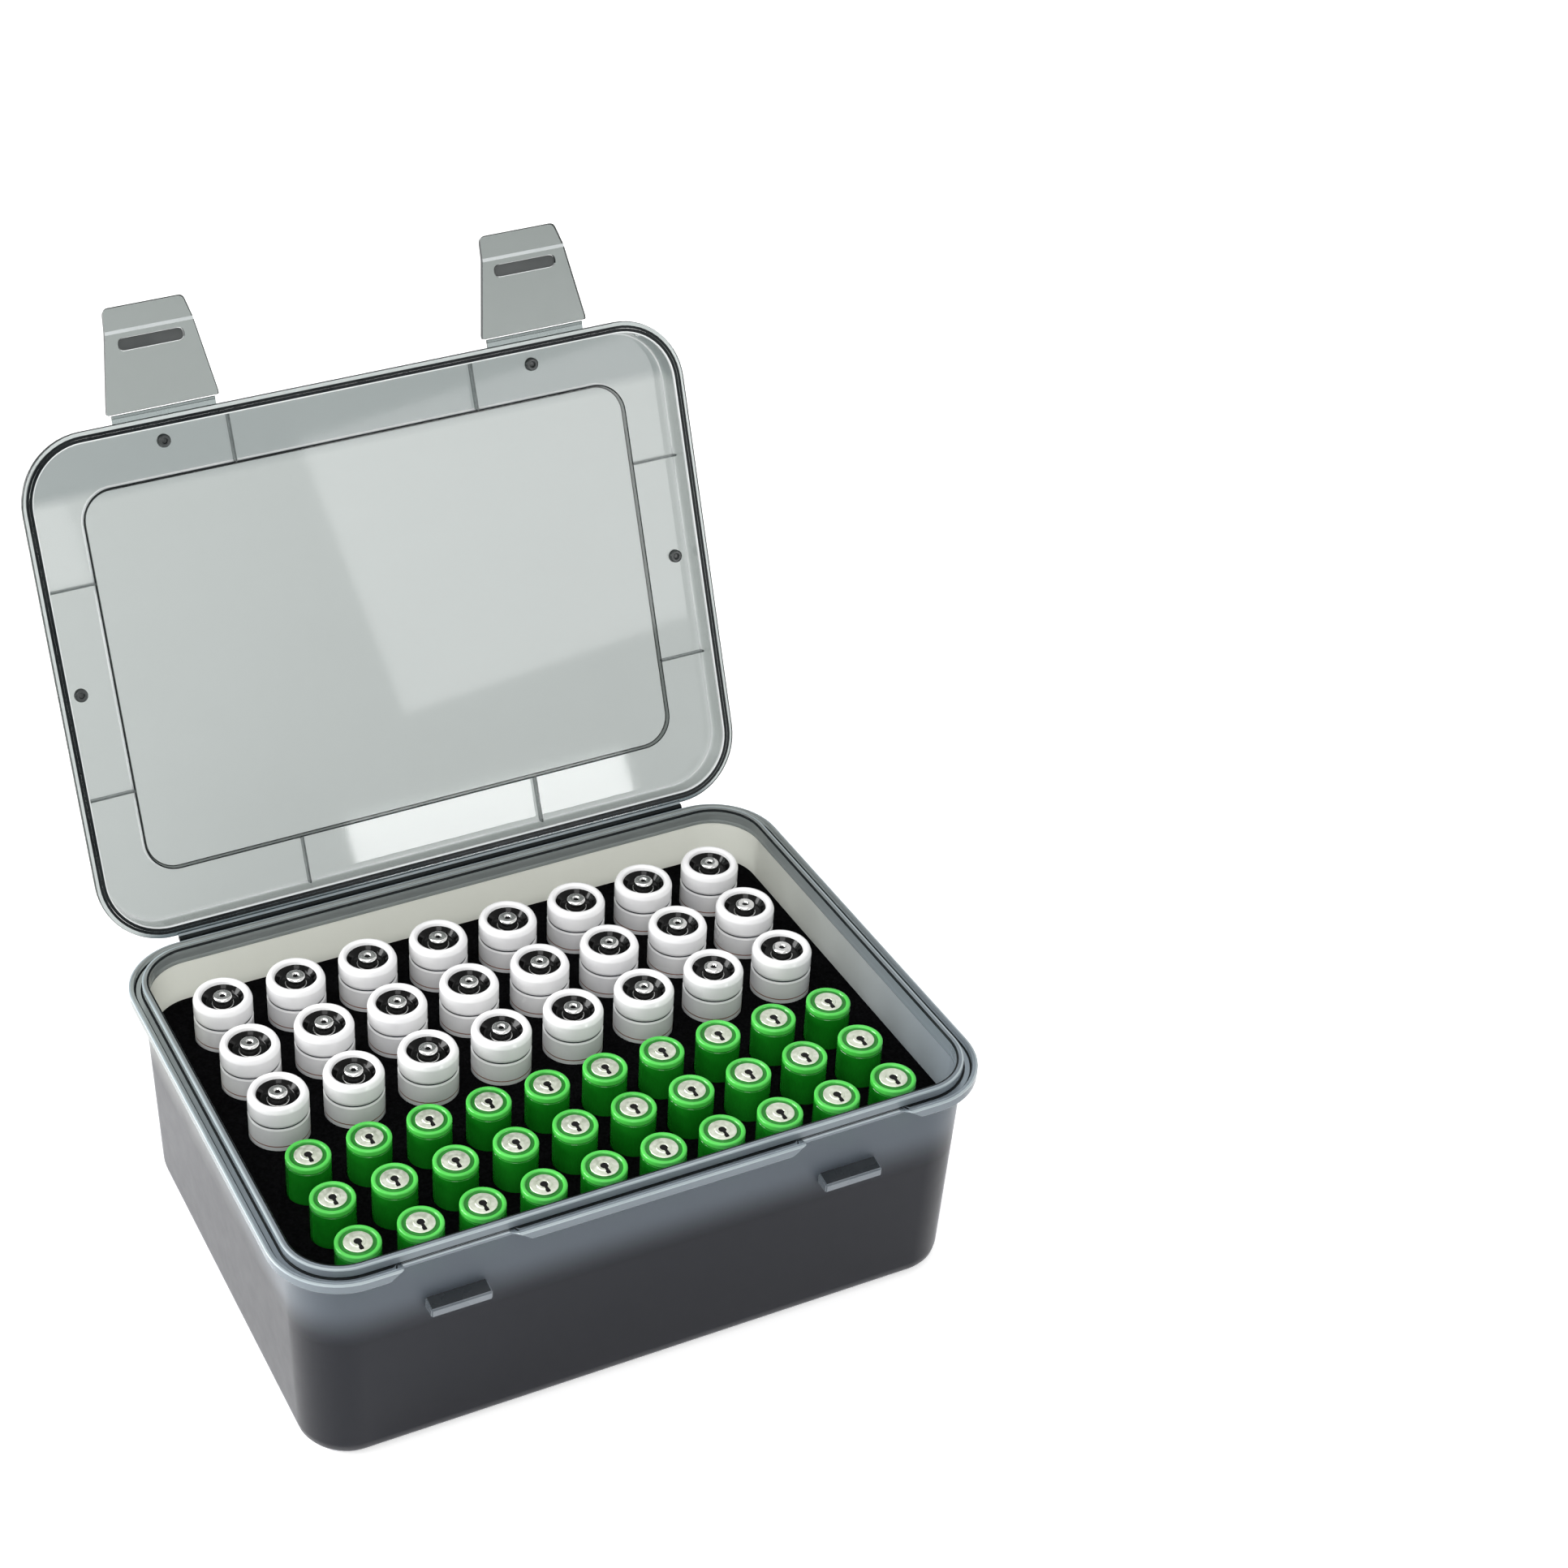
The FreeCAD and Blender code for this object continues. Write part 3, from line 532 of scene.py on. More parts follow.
def flange_plastic():
    """Clear smoke plastic, darker along the hinge with painted shade."""
    material = smoke_plastic("smoke_flange", FLANGE_TINT, (0.06, 0.10), 450, LID_SMOKE)
    share = place_share(material, "Z", HINGE_SHADE_Z)
    set_colour(material, blend_colours(material, share, (0.12, 0.16, 0.18), FLANGE_TINT))
    return material


def rim_plastic():
    """Milky smoke plastic, with a painted bluish tint towards the front for the bluish light it
    scatters there.
    """
    material = smoke_plastic("smoke_rim", (0.46, 0.50, 0.51), (0.14, 0.20), 250, LID_SMOKE,
                             clear_share=0.6, ior=RIM_IOR)
    share = place_share(material, "Y", RIM_BLUE_Y)
    set_colour(material, blend_colours(material, share, (0.37, 0.43, 0.48), (0.42, 0.46, 0.45)))
    return material


def tub_plastic():
    """Satin wall. Above the tray a painted glow stands in for light coming in, bluish and darker at the
    front and paler towards the back; below it the colour is near black.
    """
    material = smoke_plastic("smoke_tub", (0.95, 0.96, 0.97), (0.33, 0.37), 230, TUB_SMOKE,
                             clear_share=0.84)
    shader = shader_of(material)
    shader.inputs["Specular IOR Level"].default_value = 0.09
    shader.inputs["Specular Tint"].default_value = (0.46, 0.50, 0.60, 1)
    shader.inputs["Sheen Weight"].default_value = 0.6
    shader.inputs["Sheen Roughness"].default_value = 0.15
    shader.inputs["Sheen Tint"].default_value = (0.90, 0.91, 1.0, 1)
    glow = blend_colours(material, place_share(material, "Y", TUB_GLOW_Y), (0.34, 0.41, 0.50),
                         (0.70, 0.72, 0.68))
    share = place_share(material, "Z", TUB_GLOW_Z)
    set_colour(material, blend_colours(material, share, (0.010, 0.010, 0.018), glow))
    return material


def foam():
    """Black foam with a fine grain."""
    material = new_material("tray_foam_black", (0.003, 0.003, 0.003), roughness=0.95, specular=0.03)
    grain = add_noise(material, scale=1500, detail=6)
    vary_colour(material, grain, (0.001, 0.001, 0.0012), (0.004, 0.004, 0.0045))
    add_bump(material, grain, strength=0.5, distance=0.0003)
    return material


def gloss_print(name, dark, light, roughness, specular=PLAIN_SPECULAR):
    """Glossy film or plastic that varies a little between a dark and a light colour."""
    material = new_material(name, light, roughness, specular)
    film = add_noise(material, scale=90, detail=3)
    vary_colour(material, film, dark, light)
    vary_roughness(material, film, *(roughness * share for share in FILM_ROUGHNESS_SHARES))
    return material


def bright_metal(name, dark, light, roughness):
    """Brushed metal that varies between a dark and a light colour."""
    material = new_material(name, light, roughness)
    shader_of(material).inputs["Metallic"].default_value = 1
    brushed = add_noise(material, scale=900, detail=4)
    vary_colour(material, brushed, dark, light)
    vary_roughness(material, brushed, *(roughness * share for share in METAL_ROUGHNESS_SHARES))
    return material


TUB_PLASTIC = tub_plastic()
LID_PLASTIC = lid_plastic()
LATCH_PLASTIC = smoke_plastic("smoke_latch", CLEAR_TINT, (0.10, 0.16), 1130, LID_SMOKE)
# Greyer smoke plastic as painted shade on the latches' necks
NECK_SHADED_PLASTIC = smoke_plastic("smoke_neck_painted_shade", (0.34, 0.38, 0.38), (0.20, 0.30), 900, LID_SMOKE)
RIM_PLASTIC = rim_plastic()
# Near-black painted shade in narrow bands along edges and grooves where the clear plastic looks dark
PAINTED_EDGE_SHADE = gloss_print("smoke_painted_edge_shade", (0.005, 0.007, 0.008), (0.009, 0.012, 0.013), 0.25,
                        specular=0.15)
# Pale grey painted highlight on the latches' crease and on the slot wall nearest the neck
PAINTED_CREASE_HIGHLIGHT = gloss_print("smoke_painted_crease_highlight", (0.44, 0.47, 0.47), (0.50, 0.53, 0.53), 0.25)
# Pale painted highlight in narrow bands along edges inside the lid
PAINTED_EDGE_HIGHLIGHT = gloss_print("smoke_painted_edge_highlight", (0.66, 0.69, 0.69), (0.74, 0.76, 0.76), 0.25)
# Mid-grey painted light in narrow bands on the rim's bead and lip tops, and on the hinge web
PAINTED_EDGE_LIGHT = gloss_print("smoke_painted_edge_light", (0.28, 0.33, 0.35), (0.34, 0.39, 0.41), 0.20)
FLANGE_PLASTIC = flange_plastic()
# Lit and shaded copies of one grey for the catches: painted light on the faces, painted shade on the
# top
CATCH_PAINTED_LIT_FACE = gloss_print("smoke_catch_painted_lit_face", (0.14, 0.16, 0.18), (0.18, 0.20, 0.22), 0.30)
CATCH_TOP_PAINTED_SHADE = gloss_print("smoke_catch_top_painted_shade", (0.020, 0.024, 0.028), (0.030, 0.034, 0.038), 0.30)
# Near-black painted shade for the pips under the lid
PIP_PAINTED_SHADE = gloss_print("smoke_pip_painted_shade", (0.025, 0.030, 0.030), (0.040, 0.045, 0.045), 0.20)
# Dark painted shade for the sheet on the floor of each latch's slot
SLOT_PAINTED_SHADE = gloss_print("smoke_slot_painted_shade", (0.035, 0.040, 0.040), (0.055, 0.060, 0.060), 0.30)
# Greyer smoke plastic for the ribs, painted shade that makes them read as dark lines
RIB_SHADED_PLASTIC = smoke_plastic("smoke_rib_painted_shade", (0.46, 0.50, 0.50), (0.10, 0.16), 500, LID_SMOKE,
                            clear_share=0.8)
FOAM = foam()
WHITE_PRINT = gloss_print("sleeve_white", (0.74, 0.74, 0.75), (0.82, 0.82, 0.82), 0.22)
WHITE_COLLAR = gloss_print("collar_white", (0.84, 0.84, 0.85), (0.90, 0.90, 0.90), 0.14)
# Black of the real insulating ring in the AA dish, also used as painted shade in the buttons' dimples
# and the AAA vents
BLACK_RING_AND_SHADE = gloss_print("ring_black_and_painted_shade", (0.002, 0.002, 0.002), (0.004, 0.004, 0.004), 0.10,
                         specular=0.2)
GREY_LINE = gloss_print("line_grey", (0.02, 0.025, 0.03), (0.04, 0.045, 0.05), 0.4)
BROWN_LINE = gloss_print("line_brown", (0.20, 0.08, 0.05), (0.30, 0.13, 0.09), 0.4)
GREEN_PRINT = gloss_print("sleeve_green", (0.005, 0.165, 0.008), (0.010, 0.230, 0.014), 0.12)
# Lighter green on the AAA collars, a painted highlight where light falls on the tops
GREEN_COLLAR_PAINTED_LIGHT = gloss_print("collar_green_painted_light", (0.06, 0.50, 0.06), (0.09, 0.60, 0.09), 0.12)
GREEN_RING = gloss_print("ring_green", (0.004, 0.16, 0.008), (0.008, 0.22, 0.012), 0.25)
SILVER = bright_metal("cap_silver", (0.75, 0.75, 0.74), (0.92, 0.92, 0.90), 0.12)
PALE_CAP = bright_metal("cap_pale", (0.78, 0.84, 0.68), (0.90, 0.94, 0.82), 0.40)


# Tub
def front_stations():
    """Places along the front: X at the rim's top and foot, and the share of the flange there."""
    ends = []
    for side in (-1, 1):
        middle = side * LATCH_X
        ends.append((middle - GAP_HALF_TOP, middle - GAP_HALF_FOOT, True))
        ends.append((middle + GAP_HALF_TOP, middle + GAP_HALF_FOOT, False))
    stations = []
    for top, foot, falls in ends:
        for step in range(GAP_END_STEPS + 1):
            share = step / GAP_END_STEPS
            shift = GAP_END_RUN * (share - 1 if falls else share)
            turn = share * math.pi / 2
            flange_share = math.cos(turn) if falls else math.sin(turn)
            stations.append((top + shift, foot + shift, flange_share))
    return stations


def wall_profile():
    """From the middle of the underside up the wall and down to the middle of the floor."""
    return round_corners([
        (CAP_INSET, 0, 0),
        (LIP_OUTSET + FLANGE_FOOT * DRAFT, 0, TUB_FOOT_RADIUS),
        (LIP_OUTSET, RIM_FOOT + OVERLAP, 0),
        (RIM_WIDTH, RIM_FOOT + OVERLAP, 0),
        (RIM_WIDTH + (BASE_HEIGHT - FLOOR_LEVEL) * DRAFT, FLOOR_LEVEL, TUB_FLOOR_RADIUS),
        (CAP_INSET, FLOOR_LEVEL, 0),
    ])


def rim_profile():
    """From the outside of the wall round the bead, gutter and lip to its inside. Narrow bands of
    painted shade lie in the gutter's corners and on the lip's inner edge, and painted edge light on the
    top edges of the bead and lip.

    Each point is (inset, height, fall, material after it). The fall is the height that a point
    of the flange sinks to in the gaps, and None elsewhere.
    """
    points = round_corners([
        (LIP_OUTSET, RIM_FOOT, 0, False, RIM_PLASTIC),
        (LIP_OUTSET, FLANGE_FOOT, FLANGE_ROOT_RADIUS, True, RIM_PLASTIC),
        (0, FLANGE_FOOT, EDGE_RADIUS, True, RIM_PLASTIC),
        (0, BEAD_TOP - RIM_LINE, 0, True, PAINTED_EDGE_LIGHT),
        (0, BEAD_TOP, LINED_EDGE_RADIUS, True, PAINTED_EDGE_LIGHT),
        (RIM_LINE, BEAD_TOP, 0, True, RIM_PLASTIC),
        (BEAD_WIDTH, BEAD_TOP, EDGE_RADIUS, True, RIM_PLASTIC),
        (BEAD_WIDTH, GUTTER_LEVEL, GUTTER_RADIUS, True, PAINTED_EDGE_SHADE),
        (BEAD_WIDTH + RIM_LINE, GUTTER_LEVEL, 0, True, RIM_PLASTIC),
        (LIP_OUTSET - RIM_LINE, GUTTER_LEVEL, 0, True, PAINTED_EDGE_SHADE),
        (LIP_OUTSET, GUTTER_LEVEL, GUTTER_RADIUS, True, PAINTED_EDGE_SHADE),
        (LIP_OUTSET, GUTTER_LEVEL + RIM_LINE, 0, False, RIM_PLASTIC),
        (LIP_OUTSET, BASE_HEIGHT - RIM_LINE, 0, False, PAINTED_EDGE_LIGHT),
        (LIP_OUTSET, BASE_HEIGHT, LINED_EDGE_RADIUS, False, PAINTED_EDGE_LIGHT),
        (LIP_OUTSET + RIM_LINE, BASE_HEIGHT, 0, False, RIM_PLASTIC),
        (RIM_WIDTH - RIM_LINE, BASE_HEIGHT, 0, False, PAINTED_EDGE_SHADE),
        (RIM_WIDTH, BASE_HEIGHT, EDGE_RADIUS, False, PAINTED_EDGE_SHADE),
        (RIM_WIDTH, BASE_HEIGHT - RIM_LINE, 0, False, RIM_PLASTIC),
        (RIM_WIDTH, RIM_FOOT, 0, False, RIM_PLASTIC),
    ])
    flange = [index for index, (_, _, on_flange, _) in enumerate(points) if on_flange]
    low = FLANGE_FOOT - OVERLAP
    high = GUTTER_LEVEL + GAP_FALL_MARGIN
    profile = []
    for index, (inset, z, on_flange, material) in enumerate(points):
        share = (index - flange[0]) / (len(flange) - 1)
        fall = low + (high - low) * share if on_flange else None
        profile.append((inset, z, fall, material))
    return profile


def tub_ring(inset, z, fall=None):
    """One ring of the tub. Along the front it follows the gaps in the rim."""
    ring = []
    for station in corner_stations():
        ring.append((*outline_point(station, inset, CASE_CORNER), z))
    rise_share = min(max((z - FLANGE_FOOT) / (BEAD_TOP - FLANGE_FOOT), 0), 1)
    for x_top, x_foot, flange_share in front_stations():
        x = x_foot + (x_top - x_foot) * rise_share
        here_inset, here_z = inset, z
        if fall is not None:
            here_inset = LIP_OUTSET + (inset - LIP_OUTSET) * flange_share
            here_z = fall + (z - fall) * flange_share
        ring.append((x, -CASE_DEPTH / 2 + here_inset, here_z))
    return ring


def catch_part(side):
    """The wedge that a latch snaps over, in opaque grey with painted light on its faces and painted
    shade on its sloped top.
    """
    wall = -CASE_DEPTH / 2 + LIP_OUTSET + (FLANGE_FOOT - CATCH_FOOT) * DRAFT
    x = side * LATCH_X
    low = (x - CATCH_WIDTH / 2, wall - CATCH_REACH, CATCH_FOOT)
    high = (x + CATCH_WIDTH / 2, wall + CATCH_EMBED, CATCH_TOP)
    points, faces, face_materials = soft_box(low, high, CATCH_ROUNDING, CATCH_PAINTED_LIT_FACE)
    # Faces near the top get the painted shade
    for index, face in enumerate(faces):
        if min(points[corner][2] for corner in face) > CATCH_TOP - CATCH_TOP_BAND:
            face_materials[index] = CATCH_TOP_PAINTED_SHADE
    sloped = []
    for x, y, z in points:
        out_share = max((wall - y) / CATCH_REACH, 0)
        if z > (CATCH_TOP + CATCH_FOOT) / 2:
            z -= CATCH_SLOPE * out_share
        sloped.append((x, y, z))
    return sloped, faces, face_materials


def rail_part(side):
    """One of the two rails on the floor that the tray stands on."""
    low = (side * RAIL_X - RAIL_WIDTH / 2, -RAIL_LENGTH / 2, FLOOR_LEVEL - RAIL_EMBED)
    high = (side * RAIL_X + RAIL_WIDTH / 2, RAIL_LENGTH / 2, TRAY_UNDERSIDE)
    return soft_box(low, high, RAIL_ROUNDING, TUB_PLASTIC)


def make_tub():
    profile = wall_profile()
    target = sweep([tub_ring(*point) for point in profile], [TUB_PLASTIC] * len(profile))
    for side in (-1, 1):
        add_part(target, catch_part(side))
        add_part(target, rail_part(side))
    tub = new_piece("tub", *target)
    profile = rim_profile()
    rings = [tub_ring(inset, z, fall) for inset, z, fall, _ in profile]
    materials = [material for *_, material in profile]
    rim = new_piece("tub_rim", *sweep([*rings, rings[0]], materials, capped=False))
    for piece in (tub, rim):
        finish_shading(piece, SHELL_SHARP_ANGLE)
        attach(piece, "base")
        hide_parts("base_shell")


# Lid
def lid_profile():
    """From the middle of the lid's top over its wall to the middle of its ceiling.

    Each corner is (inset, height, radius, corner radius of the outline, material after it). Narrow
    bands of painted shade and painted highlight run along its edges.
    """
    wall = LID_FLANGE_WIDTH
    top_inset = wall + LID_TOP * LID_DRAFT
    cavity = LID_FLANGE_WIDTH + LID_WALL
    ceiling_inset = cavity + LID_CEILING * LID_DRAFT
    step = PANEL_INSET + PANEL_STEP_WALL
    return round_corners([
        (LID_CAP_INSET, LID_TOP - PANEL_STEP, 0, PANEL_CORNER, LID_PLASTIC),
        (step, LID_TOP - PANEL_STEP, EDGE_RADIUS, PANEL_CORNER, LID_PLASTIC),
        (step, LID_TOP, EDGE_RADIUS, PANEL_CORNER, LID_PLASTIC),
        (top_inset, LID_TOP, LID_TOP_RADIUS, CASE_CORNER, LID_PLASTIC),
        (wall, FLANGE_TOP, 0, CASE_CORNER, LID_PLASTIC),
        (wall, LID_UNDERSIDE, 0, CASE_CORNER, PAINTED_EDGE_SHADE),
        (cavity, LID_UNDERSIDE, EDGE_RADIUS, CASE_CORNER, PAINTED_EDGE_HIGHLIGHT),
        (cavity, LID_UNDERSIDE + 2 * EDGE_LINE, 0, CASE_CORNER, LID_PLASTIC),
        (ceiling_inset, LID_CEILING, CEILING_RADIUS, CASE_CORNER, PAINTED_EDGE_HIGHLIGHT),
        (ceiling_inset + EDGE_LINE, LID_CEILING, 0, CASE_CORNER, LID_PLASTIC),
        (PANEL_INSET, LID_CEILING, EDGE_RADIUS, PANEL_CORNER, PAINTED_EDGE_HIGHLIGHT),
        (PANEL_INSET, LID_CEILING - PANEL_STEP, EDGE_RADIUS, PANEL_CORNER, PAINTED_EDGE_SHADE),
        (PANEL_INSET + EDGE_LINE, LID_CEILING - PANEL_STEP, 0, PANEL_CORNER, LID_PLASTIC),
        (LID_CAP_INSET, LID_CEILING - PANEL_STEP, 0, PANEL_CORNER, LID_PLASTIC),
    ])


def flange_profile():
    """Round the flange outside the lid's wall, with corners as in the lid's profile. A band of painted
    shade runs under it along the wall.
    """
    wall = LID_FLANGE_WIDTH - OVERLAP
    return round_corners([
        (wall, LID_UNDERSIDE, 0, CASE_CORNER, PAINTED_EDGE_SHADE),
        (wall - FLANGE_LINE, LID_UNDERSIDE, 0, CASE_CORNER, FLANGE_PLASTIC),
        (0, LID_UNDERSIDE, FLANGE_EDGE_RADIUS, CASE_CORNER, FLANGE_PLASTIC),
        (0, FLANGE_TOP, FLANGE_EDGE_RADIUS, CASE_CORNER, FLANGE_PLASTIC),
        (wall, FLANGE_TOP, 0, CASE_CORNER, FLANGE_PLASTIC),
    ])


def lid_rings(profile):
    """Rings of points for a profile of the lid, and the material of the faces after each."""
    rings = []
    for inset, z, corner, _ in profile:
        ring = []
        for station in corner_stations():
            ring.append((*outline_point(station, inset, corner, LID_CENTRE_Y), z))
        rings.append(ring)
    return rings, [material for *_, material in profile]


def hinge_web():
    """The thin web that closes the gap between the flange and the hinge strip, in the mid-grey of the
    painted edge light.
    """
    low = (-HINGE_WEB_HALF_LENGTH, -HINGE_WEB_FAR, HINGE_WEB_FOOT)
    high = (HINGE_WEB_HALF_LENGTH, -HINGE_WEB_NEAR, HINGE_WEB_TOP)
    return soft_box(low, high, HINGE_WEB_ROUNDING, PAINTED_EDGE_LIGHT)


def add_ribs(target):
    """Eight low ribs between the sunk panel and the wall."""
    near = LID_FLANGE_WIDTH + LID_WALL + RIB_WALL_GAP
    far = PANEL_INSET + RIB_PANEL_EMBED
    foot = LID_CEILING - RIB_HEIGHT
    top = LID_CEILING + RIB_CEILING_EMBED
    half = RIB_WIDTH / 2
    for side in (-1, 1):
        for end in (-1, 1):
            x = sorted((side * (CASE_WIDTH / 2 - near), side * (CASE_WIDTH / 2 - far)))
            y = LID_CENTRE_Y + end * SIDE_RIB_Y
            low, high = (x[0], y - half, foot), (x[1], y + half, top)
            add_part(target, soft_box(low, high, RIB_ROUNDING, RIB_SHADED_PLASTIC))
            y = sorted((end * (CASE_DEPTH / 2 - near), end * (CASE_DEPTH / 2 - far)))
            x = side * END_RIB_X
            low, high = (x - half, LID_CENTRE_Y + y[0], foot), (x + half, LID_CENTRE_Y + y[1], top)
            add_part(target, soft_box(low, high, RIB_ROUNDING, RIB_SHADED_PLASTIC))


def pip_profile():
    """From the root of a pip down its side and up into its dimple, all in painted shade."""
    foot = LID_CEILING - PIP_HEIGHT
    return round_corners([
        (PIP_RADIUS + PIP_EMBED, LID_CEILING + PIP_EMBED, 0, PIP_PAINTED_SHADE),
        (PIP_RADIUS, foot, 0.4, PIP_PAINTED_SHADE),
        (DIMPLE_RADIUS, foot, 0.25, PIP_PAINTED_SHADE),
        (DIMPLE_FLOOR_RADIUS, foot + DIMPLE_DEPTH, 0.2, PIP_PAINTED_SHADE),
        (AXIS_RADIUS, foot + DIMPLE_DEPTH, 0, PIP_PAINTED_SHADE),
    ])


def add_pips(target):
    """Four round pips with a dimple in each, two near the latches and one at each end."""
    inset = LID_FLANGE_WIDTH + LID_WALL + PIP_INSET
    for side in (-1, 1):
        front = (side * LATCH_X, LID_CENTRE_Y - CASE_DEPTH / 2 + inset)
        end = (side * (CASE_WIDTH / 2 - inset), LID_CENTRE_Y)
        for x, y in (front, end):
            add_part(target, lathe(pip_profile(), x, y, PIP_SIDES))


def make_lid():
    opened = Matrix.Translation(HINGE) @ Matrix.Rotation(OPEN_ANGLE, 4, "X")
    target = sweep(*lid_rings(lid_profile()))
    add_ribs(target)
    add_pips(target)
    lid = new_piece("lid", *target, opened)
    rings, materials = lid_rings(flange_profile())
    target = sweep([*rings, rings[0]], materials, capped=False)
    add_part(target, hinge_web())
    flange = new_piece("lid_flange", *target, opened)
    for piece in (lid, flange):
        finish_shading(piece, SHELL_SHARP_ANGLE)
        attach(piece, "lid")
        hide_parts("lid_shell")


# Latches
# Latch faces: clear plastic, painted shade and painted highlight
FLAP_MATERIALS = [LATCH_PLASTIC, PAINTED_EDGE_SHADE, PAINTED_CREASE_HIGHLIGHT]
PAINTED_SHADE_FACE = FLAP_MATERIALS.index(PAINTED_EDGE_SHADE)
PAINTED_HIGHLIGHT_FACE = FLAP_MATERIALS.index(PAINTED_CREASE_HIGHLIGHT)


def rounded_loop(corners):
    """Points round a closed outline with rounded corners, each (x, y, radius)."""
    closed = [corners[-1], *corners, corners[0]]
    return round_corners(closed)[1:-1]


def flap_loop():
    """The outline of the flat latch, with its wide end at the neck."""
    return rounded_loop([
        (LATCH_HALF_WIDTH, -LATCH_START, LATCH_ROOT_RADIUS),
        (-LATCH_HALF_WIDTH, -LATCH_START, LATCH_ROOT_RADIUS),
        (-LATCH_HALF_WIDTH, -LATCH_SHOULDER, LATCH_SHOULDER_RADIUS),
        (-LATCH_TIP_HALF_WIDTH, -LATCH_LENGTH, LATCH_TIP_RADIUS),
        (LATCH_TIP_HALF_WIDTH, -LATCH_LENGTH, LATCH_TIP_RADIUS),
        (LATCH_HALF_WIDTH, -LATCH_SHOULDER, LATCH_SHOULDER_RADIUS),
    ])


def slot_loop(inset):
    """The outline of the slot with round ends, moved inwards by inset."""
    half_width = SLOT_HALF_WIDTH - inset
    half_height = SLOT_HALF_HEIGHT - inset
    return rounded_loop([
        (half_width, half_height - SLOT_CENTRE, half_height),
        (-half_width, half_height - SLOT_CENTRE, half_height),
        (-half_width, -half_height - SLOT_CENTRE, half_height),
        (half_width, -half_height - SLOT_CENTRE, half_height),
    ])


def add_loop(shaper, loop, level):
    """A ring of edges at one level of the latch's thickness."""
    verts = [shaper.verts.new((x, y, level)) for x, y in loop]
    edges = [shaper.edges.new((verts[index - 1], vert)) for index, vert in enumerate(verts)]
    return verts, edges


def add_wall(shaper, low, high):
    """Faces between two rings of points."""
    return [shaper.faces.new((low[index - 1], low[index], high[index], high[index - 1]))
            for index in range(len(low))]


def latch_plate():
    """The flat latch with its blind slot and softened edges, as a bmesh in millimetres. Its side walls,
    softened edges and slot walls are in painted shade, with a painted highlight on the slot wall
    nearest the neck.
    """
    half = LATCH_THICKNESS / 2
    shaper = bmesh.new()
    inside, inside_edges = add_loop(shaper, flap_loop(), -half)
    outside, outside_edges = add_loop(shaper, flap_loop(), half)
    mouth, mouth_edges = add_loop(shaper, slot_loop(0), -half)
    bottom, bottom_edges = add_loop(shaper, slot_loop(0), half - SLOT_FLOOR)
    bmesh.ops.triangle_fill(shaper, edges=inside_edges + mouth_edges, use_beauty=True)
    shaper.faces.new(outside)
    shaper.faces.new(bottom)
    for face in add_wall(shaper, inside, outside):
        face.material_index = PAINTED_SHADE_FACE
    for face in add_wall(shaper, mouth, bottom):
        near_neck = face.calc_center_median().y > -SLOT_CENTRE + SLOT_HALF_HEIGHT / 2
        face.material_index = PAINTED_HIGHLIGHT_FACE if near_neck else PAINTED_SHADE_FACE
    bmesh.ops.recalc_face_normals(shaper, faces=shaper.faces)
    bmesh.ops.bevel(shaper, geom=inside_edges + outside_edges + mouth_edges + bottom_edges,
                    offset=LATCH_EDGE_ROUNDING, segments=BEVEL_STEPS, affect="EDGES",
                    clamp_overlap=True, material=PAINTED_SHADE_FACE)
    return shaper


def bend_latch(shaper):
    """Bends the tip of the latch up in two equal turns, one each side of the crease."""
    cuts = [-LATCH_CREASE + LATCH_CREASE_RUN, -LATCH_CREASE - LATCH_CREASE_RUN]
    for cut in cuts:
        geometry = shaper.verts[:] + shaper.edges[:] + shaper.faces[:]
        bmesh.ops.bisect_plane(shaper, geom=geometry, plane_co=(0, cut, 0), plane_no=(0, 1, 0))
    # Faces inside the crease get a painted highlight
    for face in shaper.faces:
        middle = face.calc_center_median()
        if cuts[1] < middle.y < cuts[0] and middle.z < SAME_POINT - LATCH_THICKNESS / 2:
            face.material_index = PAINTED_HIGHLIGHT_FACE
    for cut in cuts:
        turn = Matrix.Rotation(LATCH_BEND / len(cuts), 4, "X")
        about = Matrix.Translation((0, cut, 0)) @ turn @ Matrix.Translation((0, -cut, 0))
        for vertex in shaper.verts:
            if vertex.co.y < cut - SAME_POINT:
                vertex.co = about @ vertex.co


def slot_shade_sheet():
    """A thin sheet of painted shade on the floor of the slot."""
    top = LATCH_THICKNESS / 2 - SLOT_FLOOR - SHADE_SHEET_DROP
    rings = [[(x, y, z) for x, y in slot_loop(SHADE_SHEET_INSET)] for z in (top - SHADE_SHEET_THICKNESS, top)]
    return sweep(rings, [SLOT_PAINTED_SHADE] * len(rings))


def make_latch(name, side):
    shaper = latch_plate()
    bend_latch(shaper)
    target = mesh_part(shaper, [FLAP_MATERIALS[face.material_index] for face in shaper.faces])
    add_part(target, slot_shade_sheet())
    place = Vector((side * LATCH_PLACE.x, LATCH_PLACE.y, LATCH_PLACE.z))
    opened = Matrix.Translation(place) @ Matrix.Rotation(OPEN_ANGLE, 4, "X")
    latch = new_piece(f"flap_{name}", *target, opened)
    finish_shading(latch, LATCH_SHARP_ANGLE)
    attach(latch, f"latch_{name}")
    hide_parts(f"latch_{name}")


